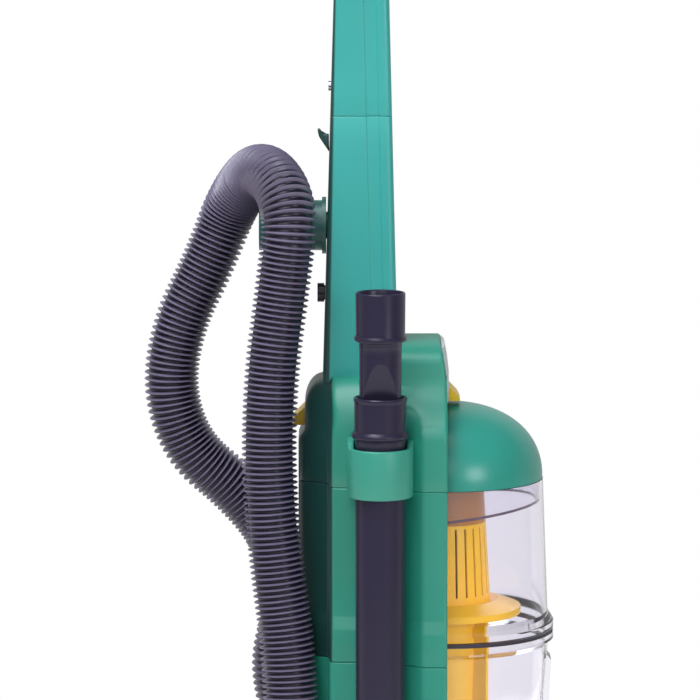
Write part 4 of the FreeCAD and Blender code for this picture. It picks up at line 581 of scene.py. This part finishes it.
pins = [lattice(cross_turned([(radius, side * y) for radius, y in hollow_pin], (pivot_x, pivot_z), 48),
                around=True, along=True) for side in (-1, 1)]
shelf = block(shelf_low, shelf_high, shelf_edge)
port_profile = [(22.1, 264.0), (22.1, port_top - 0.8), (22.7, port_top), (24.6, port_top), (25.2, port_top - 0.8),
                (25.2, 230.0), (23.5, 228.3)]
ports = [capped(turned(port_profile, (port_x, side * port_y), 56)) for side in (-1, 1)]
lower_plastic = teal("lower_plastic", linear(40, 149, 126))
make_piece("lower_shell", [wrap, base, barrel, shelf] + pins + ports, "upright", lower_plastic,
           replaced=["lower_housing"])

louvre = [(84.0, -1.1), (85.2, -1.3), (86.0, -0.7), (86.1, 0.2), (85.6, 0.9), (84.0, 1.1)]
louvre_heights = np.linspace(grille_low + 5.5, grille_high - 5.5, louvre_count)
bars = [arc_bar([(radius, height + rise) for radius, rise in louvre], grille_turn) for height in louvre_heights]
rims = [arc_bar([(83.6, height - 2), (85.6, height - 2), (86.4, height - 1), (86.4, height + 1),
                 (85.6, height + 2), (83.6, height + 2)], grille_turn + 0.02)
        for height in (grille_low + 1, grille_high - 1)]
cheeks = []
for side in (-1, 1):
    cheek = arc_bar([(83.6, grille_low), (86.4, grille_low), (86.4, grille_high), (83.6, grille_high)], 0.026, 6)
    angle = side * (grille_turn + 0.01)
    turn = np.array([[math.cos(angle), math.sin(angle), 0], [-math.sin(angle), math.cos(angle), 0], [0, 0, 1]])
    centre = np.array([cup_x, 0, 0])
    cheeks.append(((cheek[0] - centre) @ turn + centre, cheek[1]))
make_piece("exhaust_louvres", bars + rims + cheeks, "upright",
           teal("louvre_plastic", linear(30, 90, 82)), replaced=["exhaust_grille"])
# a dark sheet just behind the louvres: painted shade in the gaps between them
make_piece("exhaust_shade", [arc_bar([(83.4, grille_low + 2), (84.25, grille_low + 2), (84.25, grille_high - 2),
                                      (83.4, grille_high - 2)], grille_turn)], "upright",
           moulded("louvre_gap_shade", linear(30, 32, 36), roughness=0.9, grain=0.8, grain_scale=900.0))

# Cup: a clear jar in two halves with a teal lid. The lid carries the pleated filter inside the slotted
# screen, and the cone under it throws the dirt down. A black ring seals the halves, and a slanted
# gasket on the lid's clear skirt seals the jar.
ring_radius, ring_low, ring_high, ring_tilt, collar_low = 69.6, 538.2, 540.0, 8.0, 529.8
lid_radius, lid_foot, lid_rise, lid_wall, skirt_radius = 71.9, 562.0, 56.0, 2.6, 69.5


def finish(material, *names):
    """Gives CAD nodes that keep their shape a finished material."""
    for name in names:
        for material_slot in node_of[name].material_slots:
            material_slot.material = material


def clear_plastic(name, tint, roughness=0.03):
    """Clear plastic that lamps shine through: glass for the eye, see-through for shadow rays, with the
    faint scuffs of handling as a roughness that drifts on Object coordinates."""
    material, tree, skin, place = new_material(name)
    skin.inputs["Transmission Weight"].default_value = 1.0
    skin.inputs["IOR"].default_value = 1.45
    skin.inputs["Base Color"].default_value = tint
    scuffs = add_node(tree, "TexNoise", Scale=26.0, Detail=5.0, Roughness=0.6)
    tree.links.new(place.outputs["Object"], scuffs.inputs["Vector"])
    drift = add_node(tree, "MapRange", From_Min=0.4, From_Max=0.75, To_Min=roughness, To_Max=roughness * 3)
    tree.links.new(scuffs.outputs["Fac"], drift.inputs["Value"])
    tree.links.new(drift.outputs["Result"], skin.inputs["Roughness"])
    through = add_node(tree, "BsdfTransparent")
    through.inputs["Color"].default_value = tint
    light_path = add_node(tree, "LightPath")
    mix = add_node(tree, "MixShader")
    tree.links.new(light_path.outputs["Is Shadow Ray"], mix.inputs["Fac"])
    tree.links.new(skin.outputs[0], mix.inputs[1])
    tree.links.new(through.outputs[0], mix.inputs[2])
    tree.links.new(mix.outputs[0], tree.nodes["Material Output"].inputs["Surface"])
    return material


def lid_rows(radius, height, steps=26):
    """Rows of a dome from rim to crown: radius times cos a and height times sin a, to the power 2 / 2.25."""
    angle = np.linspace(0, np.pi / 2, steps)
    power = 2 / dome_power
    return np.stack([radius * np.maximum(np.cos(angle), 0) ** power, lid_foot + height * np.sin(angle) ** power], -1)


def tilted(grid):
    """Rows at the ring and below rise by the ring's tilt times cos a, towards the front."""
    lean = (grid[..., 0] - cup_x) / ring_radius
    low = grid[..., 2] < (ring_high + lid_foot) / 2
    return grid + np.stack([0 * lean, 0 * lean, np.where(low, ring_tilt * lean, 0.0)], -1)


jar_plastic = clear_plastic("jar_plastic", linear(244, 242, 249))
yellow_plastic = moulded("yellow_plastic", linear(255, 208, 52), roughness=0.34, spread=0.04)
screen_plastic = moulded("screen_plastic", linear(255, 195, 6), roughness=0.30, spread=0.04)
lid_plastic = teal("lid_plastic", linear(50, 156, 139), roughness=0.28)
seal_rubber = moulded("seal_rubber", linear(60, 54, 66), roughness=0.6, grain=0.3)
finish(jar_plastic, "upper_cup", "lower_cup")
finish(seal_rubber, "cup_seal")
finish(screen_plastic, "cyclone_screen", "dirt_plate", "cup_baffle")
finish(moulded("filter_paper", linear(120, 84, 44), roughness=0.85, grain=0.7, grain_scale=700.0, spread=0.10),
       "filter_cartridge")

# the screen turns brown above the ring, where the outlet collar stands behind it in the shade under the lid: that
# brown is partly the collar's colour and partly painted shade. The whole screen also glows faintly in its own colour,
# painted light for the lamp light that the lid and cup hold back
tree = screen_plastic.node_tree
skin = tree.nodes["Principled BSDF"]
gold = skin.inputs["Base Color"].links[0].from_socket
place = add_node(tree, "TexCoord")
split = add_node(tree, "SeparateXYZ")
tree.links.new(place.outputs["Object"], split.inputs[0])
share = add_node(tree, "MapRange", From_Min=collar_low * MM - 0.0004, From_Max=collar_low * MM)
tree.links.new(split.outputs["Z"], share.inputs["Value"])
mix = add_node(tree, "Mix", data_type="RGBA")
mix.inputs["B"].default_value = linear(186, 118, 24)
tree.links.new(share.outputs["Result"], mix.inputs["Factor"])
tree.links.new(gold, mix.inputs["A"])
tree.links.new(mix.outputs["Result"], skin.inputs["Base Color"])
# painted light: a faint glow in the screen's own colour
tree.links.new(mix.outputs["Result"], skin.inputs["Emission Color"])
skin.inputs["Emission Strength"].default_value = 0.08

outer_rows = lid_rows(lid_radius, lid_rise)
inner_rows = lid_rows(lid_radius - lid_wall, lid_rise - lid_wall)[::-1]
rim_rows = np.array([(lid_radius - 2.2, lid_foot), (lid_radius - 0.7, lid_foot), (lid_radius - 0.1, lid_foot + 0.4)])
lid_profile = np.concatenate([rim_rows, outer_rows[1:], inner_rows])
make_piece("lid_dome", [lattice(turned(lid_profile, (cup_x, 0.0), 120), around=True, along=True)], "cup",
           lid_plastic, replaced=["cup_lid"], crease=50.0)

skirt = [(skirt_radius - 1.8, ring_high), (skirt_radius, ring_high), (skirt_radius, lid_foot - 0.1),
         (skirt_radius - 1.8, lid_foot - 0.1)]
make_piece("lid_skirt", [lattice(tilted(turned(skirt, (cup_x, 0.0), 96)), around=True, along=True)], "cup",
           jar_plastic)
gasket = [(ring_radius - 2.4, ring_low), (ring_radius - 0.4, ring_low), (ring_radius, ring_low + 0.4),
          (ring_radius, ring_high - 0.4), (ring_radius - 0.4, ring_high), (ring_radius - 2.4, ring_high)]
make_piece("lid_gasket", [lattice(tilted(turned(gasket, (cup_x, 0.0), 96)), around=True, along=True)], "cup",
           moulded("gasket_rubber", linear(88, 66, 84), roughness=0.5, grain=0.2))

# Foot: a teal cover on a black base plate, with a rubber bumper round the nozzle. Steel axles and pins
# hold the wheels and rollers, and the bristled roll turns in steel bearings, driven by a flat belt.
finish(teal("cover_plastic", linear(40, 149, 126)), "foot_cover")
finish(black_plastic, "foot_base")
finish(moulded("bumper_rubber", linear(44, 42, 48), roughness=0.65, grain=0.5, grain_scale=800.0),
       "furniture_bumper")
grey_plastic = moulded("grey_plastic", linear(112, 114, 120), roughness=0.45)
finish(grey_plastic, "brush_tunnel", "nozzle_duct", "pivot_bushes", "right_roller", "left_roller")


def bright_metal(name, colour, roughness=0.25, lines=900.0):
    """Turned or drawn metal: fine lines of roughness and bump from stretched noise on Object coordinates."""
    material, tree, skin, place = new_material(name)
    skin.inputs["Metallic"].default_value = 1.0
    skin.inputs["Base Color"].default_value = colour
    stretch = add_node(tree, "Mapping")
    stretch.inputs["Scale"].default_value = (1.0, 0.05, 1.0)
    streaks = add_node(tree, "TexNoise", Scale=lines, Detail=3.0)
    tree.links.new(place.outputs["Object"], stretch.inputs["Vector"])
    tree.links.new(stretch.outputs[0], streaks.inputs["Vector"])
    drift = add_node(tree, "MapRange", From_Min=0.3, From_Max=0.7, To_Min=roughness * 0.7, To_Max=roughness * 1.4)
    tree.links.new(streaks.outputs["Fac"], drift.inputs["Value"])
    tree.links.new(drift.outputs["Result"], skin.inputs["Roughness"])
    bump = add_node(tree, "Bump", Strength=0.12, Distance=0.0002)
    tree.links.new(streaks.outputs["Fac"], bump.inputs["Height"])
    tree.links.new(bump.outputs["Normal"], skin.inputs["Normal"])
    return material


steel = bright_metal("steel", linear(196, 198, 202))
finish(steel, "brush_bearings", "wheel_axles", "roller_pins", "pedal_pin", "base_screws", "rear_screws",
       "neck_screw", "latch_pin")
finish(bright_metal("motor_steel", linear(150, 154, 160), roughness=0.35), "motor_can")
finish(bright_metal("rotor_metal", linear(190, 140, 96), roughness=0.4), "motor_rotor")
finish(moulded("belt_rubber", linear(34, 33, 36), roughness=0.7, grain=0.4), "drive_belt")
finish(moulded("brush_wood", linear(176, 132, 88), roughness=0.55, grain=0.5, grain_scale=300.0, spread=0.16),
       "brush_core")
finish(moulded("bristle_nylon", linear(34, 32, 38), roughness=0.5, grain=0.8, grain_scale=2400.0), "brush_bristles")
finish(moulded("tyre_rubber", linear(46, 44, 50), roughness=0.75, grain=0.6, grain_scale=900.0),
       "right_tyre", "left_tyre")
finish(black_plastic, "right_wheel_hub", "left_wheel_hub", "cord_gland", "upper_cord_hook", "lower_cord_hook",
       "switch_box")
finish(seal_rubber, "motor_mounts")
finish(yellow_plastic, "release_pedal", "height_dial", "power_switch", "cup_latch")
finish(moulded("filter_foam", linear(62, 66, 72), roughness=0.95, grain=1.0, grain_scale=600.0), "exhaust_filter")
finish(teal("handle_plastic", linear(42, 153, 130)), "handle_loop")
finish(teal("socket_plastic", linear(40, 149, 126)), "wand_socket")
finish(teal("hook_plastic", linear(32, 96, 90)), "hose_hook")
finish(moulded("grip_rubber", linear(44, 43, 48), roughness=0.7, grain=0.6, grain_scale=900.0), "grip_sleeve")
# the badge plate at the head's front edge is pale: a painted highlight of the rounded edge
finish(moulded("pale_plate", linear(196, 208, 210), roughness=0.3, grain=0.05), "badge_plate")

# Neck: two tapering box mouldings that plug into each other and into the shoulder, with a shallow
# groove down each side near the front. A hook for the hose's clip is moulded on behind.
neck_foot, neck_seam, neck_top = 628.0, 833.0, 990.0
neck_rear_ends, neck_front_ends, neck_half_ends = (-131.0, -121.0), (-75.5, -84.0), (31.0, 22.0)
groove_depth, groove_ends = 0.9, (19.5, 18.3, 10.2, 9.2)


def neck_outline(height):
    """A rectangle that tapers in line with height, with a groove in both sides near the front."""
    share = (height - shoulder_high) / (neck_top - shoulder_high)
    rear, front, half = (low + share * (high - low) for low, high in (neck_rear_ends, neck_front_ends, neck_half_ends))
    side = [(rear, half), (front - groove_ends[0], half), (front - groove_ends[1], half - groove_depth),
            (front - groove_ends[2], half - groove_depth), (front - groove_ends[3], half), (front, half)]
    side = np.stack([np.stack(corner, -1) for corner in side], axis=1)
    corners = np.concatenate([side, side[:, ::-1] * np.array([1.0, -1.0])], axis=1)
    cuts = [3.5, 0.5, 0.5, 0.5, 0.5, 6.0]
    return rounded_loop(corners, cuts + cuts[::-1], 5)


def neck_part(low, high, steps):
    """The neck from one seam to another, with fine rounded rims."""
    heights, edges = edged(low, high, seam_round)
    middle = np.linspace(low, high, steps)[1:-1]
    order = np.argsort(np.concatenate([heights, middle]))
    heights = np.concatenate([heights, middle])[order]
    edges = np.concatenate([edges, 0 * middle])[order]
    return capped(standing(drawn_in(neck_outline(heights), edges), heights))


def side_slab(profile, low, high, edge=0.8):
    """A closed profile of (x, z), its corners rounded, carried along Y with rounded rims."""
    y, inset = edged(low, high, edge)
    outline = rounded_loop(np.broadcast_to(np.array(profile, float), (len(y), len(profile), 2)), edge, 4)
    grid = standing(drawn_in(outline, inset), y)
    return capped(grid[..., [0, 2, 1]])


clip_profile = [(-126.5, 805.0), (-130.5, 811.0), (-133.8, 816.0), (-135.0, 821.0), (-133.4, 821.4),
                (-130.8, 817.6), (-126.5, 817.2)]
# the neck's teal is a lighter copy of the housing's, painted light from above, and its rear edge behind X = -0.1369 +
# 0.0168 Z in metres is painted darker, a painted shade
make_piece("neck_lower", [neck_part(neck_foot, neck_seam, 12), side_slab(clip_profile, -6, 6, 0.7)],
           "upright", teal("neck_plastic_painted_light_and_shade", linear(56, 171, 163), -0.1369, 0.0168),
           replaced=["lower_neck"])
make_piece("neck_upper", [neck_part(neck_seam, neck_top, 10)], "upright",
           bpy.data.materials["neck_plastic_painted_light_and_shade"], replaced=["upper_neck"])

# Wand, crevice tool and their holders: black polypropylene tubes. The wand drops through a teal loop
# on the flank into a socket on the base, and the crevice tool hangs in the wand's mouth.
wand_x, wand_y = -89.0, -90.0
loop_low, loop_high, loop_middle, loop_half = 562.0, 598.0, 21.4, 1.9
loop_ear, loop_end, loop_front_end, loop_round, loop_spread = 4.0, -63.0, -75.0, 1.2, 0.7
tool_radius, tool_half, tool_bore, tool_slot_half = 15.4, 6.5, 12.8, 4.7
facet_top, facet_slope = 661.5, 0.2465


def loop_band(steps=60):
    """A rounded section carried along a U: two straight ears from the flank and a half circle. Its top
    rises by s^2 (3 - 2 s) of the ear's height over the ears."""
    angle = np.linspace(0, np.pi, steps)
    arc = np.stack([wand_x + loop_middle * np.cos(angle), wand_y - loop_middle * np.sin(angle)], -1)
    ear = np.linspace(loop_end, wand_y, 14)[:-1]
    front_ear = np.linspace(loop_front_end, wand_y, 14)[:-1]
    path = np.concatenate([np.stack([wand_x + loop_middle + 0 * ear, front_ear], -1), arc,
                           np.stack([wand_x - loop_middle + 0 * ear, ear[::-1]], -1)])
    normal = np.concatenate([np.broadcast_to([1.0, 0.0], (len(ear), 2)),
                             np.stack([np.cos(angle), -np.sin(angle)], -1),
                             np.broadcast_to([-1.0, 0.0], (len(ear), 2))])
    share = np.clip((path[:, 1] - wand_y + 6) / 12, 0, 1)
    top = loop_high + loop_ear * share ** 2 * (3 - 2 * share)
    half = loop_half + loop_spread * share
    turn = np.linspace(0, np.pi / 2, 4)
    across = np.concatenate([np.cos(turn), -np.cos(turn[::-1]), -np.cos(turn), np.cos(turn[::-1])])
    drop = np.concatenate([np.sin(turn) - 1, np.sin(turn[::-1]) - 1, 1 - np.sin(turn), 1 - np.sin(turn[::-1])])
    high = np.arange(16) < 8
    outward = np.sign(across) * (half[:, None] - loop_round) + loop_round * across
    z = np.where(high, top[:, None], loop_low) + loop_round * drop
    place = path[:, None] + normal[:, None] * outward[..., None]
    return capped(np.concatenate([place, z[..., None]], axis=-1))


def clipped_circle(radius, half, columns=24):
    """Circles cut flat at y = half on both sides, with the cut's corners kept on the same columns."""
    radius, half = np.asarray(radius, float), np.minimum(np.asarray(half, float), np.asarray(radius, float))
    corner = np.arcsin(half / radius)[:, None]
    share = np.linspace(0, 1, columns, endpoint=False)
    round_angle = -corner + 2 * corner * share
    flat_x = (1 - 2 * share) * radius[:, None] * np.cos(corner)
    round_x, round_y = radius[:, None] * np.cos(round_angle), radius[:, None] * np.sin(round_angle)
    flat_y = np.broadcast_to(half[:, None], flat_x.shape)
    x = np.concatenate([round_x, flat_x, -round_x, -flat_x], axis=1)
    y = np.concatenate([round_y, flat_y, -round_y, -flat_y], axis=1)
    return np.stack([x, y], -1)


loop_plastic = teal("loop_plastic", linear(54, 156, 134))
make_piece("wand_clip", [loop_band()], "upright", loop_plastic, replaced=["wand_loop"])

wand_plastic = moulded("wand_plastic", linear(48, 42, 64), roughness=0.30, grain=0.06, spread=0.05, gloss=0.35)
collar = [(16.6, 612.0), (16.6, 633.4), (16.9, 634.4), (17.6, 635.0), (18.9, 635.0), (19.5, 634.4), (19.6, 633.2),
          (19.3, 632.0), (18.9, 631.4), (18.9, 610.4), (19.6, 609.6), (20.6, 608.6), (21.0, 607.2), (20.6, 605.8),
          (19.6, 604.9), (18.5, 604.3), (18.5, 601.6), (18.3, 601.0), (18.2, 590.0), (16.6, 590.0)]
make_piece("wand_mouth", [lattice(turned(collar, (wand_x, wand_y), 96), around=True, along=True)], "wand",
           wand_plastic, replaced=["wand_collar"])
blade_heights = np.array([661.5, 659, 656, 652, 647, 641, 635, 630, 625.4, 622, 600, 560, 520, 490, 476, 474.6, 474.0])
blade_radius = np.interp(blade_heights, [474, 474.6, 476, 600, 661.5], [14.0, 14.6, 14.8, 15.1, 15.4])
blade_half = np.clip(tool_radius - (facet_top - blade_heights) * facet_slope, tool_half, tool_radius)
inner_heights = np.array([474.0, 476.0, 520.0, 600.0])
tool_rows = [(15.9, 683.0), (15.9, 710.0), (16.3, 711.1), (17.0, 711.5), (17.6, 711.4), (18.05, 710.8), (18.1, 709.5),
             (17.9, 681.0), (18.0, 680.2), (18.7, 679.7), (19.2, 678.6), (19.2, 677.2), (18.7, 676.3), (17.4, 675.8),
             (15.9, 675.2), (15.6, 674.0), (15.6, 671.5), (15.5, 671.2), (15.4, 670.8), (15.4, 666.0)]
row_radii, row_heights = np.array(tool_rows).T
tool_radii = np.concatenate([row_radii, blade_radius, np.full(len(inner_heights), tool_bore)])
tool_halves = np.concatenate([row_radii, blade_half, np.full(len(inner_heights), tool_slot_half)])
tool_heights = np.concatenate([row_heights, blade_heights, inner_heights])
tool_grid = standing(clipped_circle(tool_radii, tool_halves) + np.array([wand_x, wand_y]), tool_heights)
make_piece("crevice_nozzle", [capped(tool_grid)], "tool", wand_plastic,
           replaced=["crevice_tool"], crease=24.0)

finish(wand_plastic, "wand_tube")
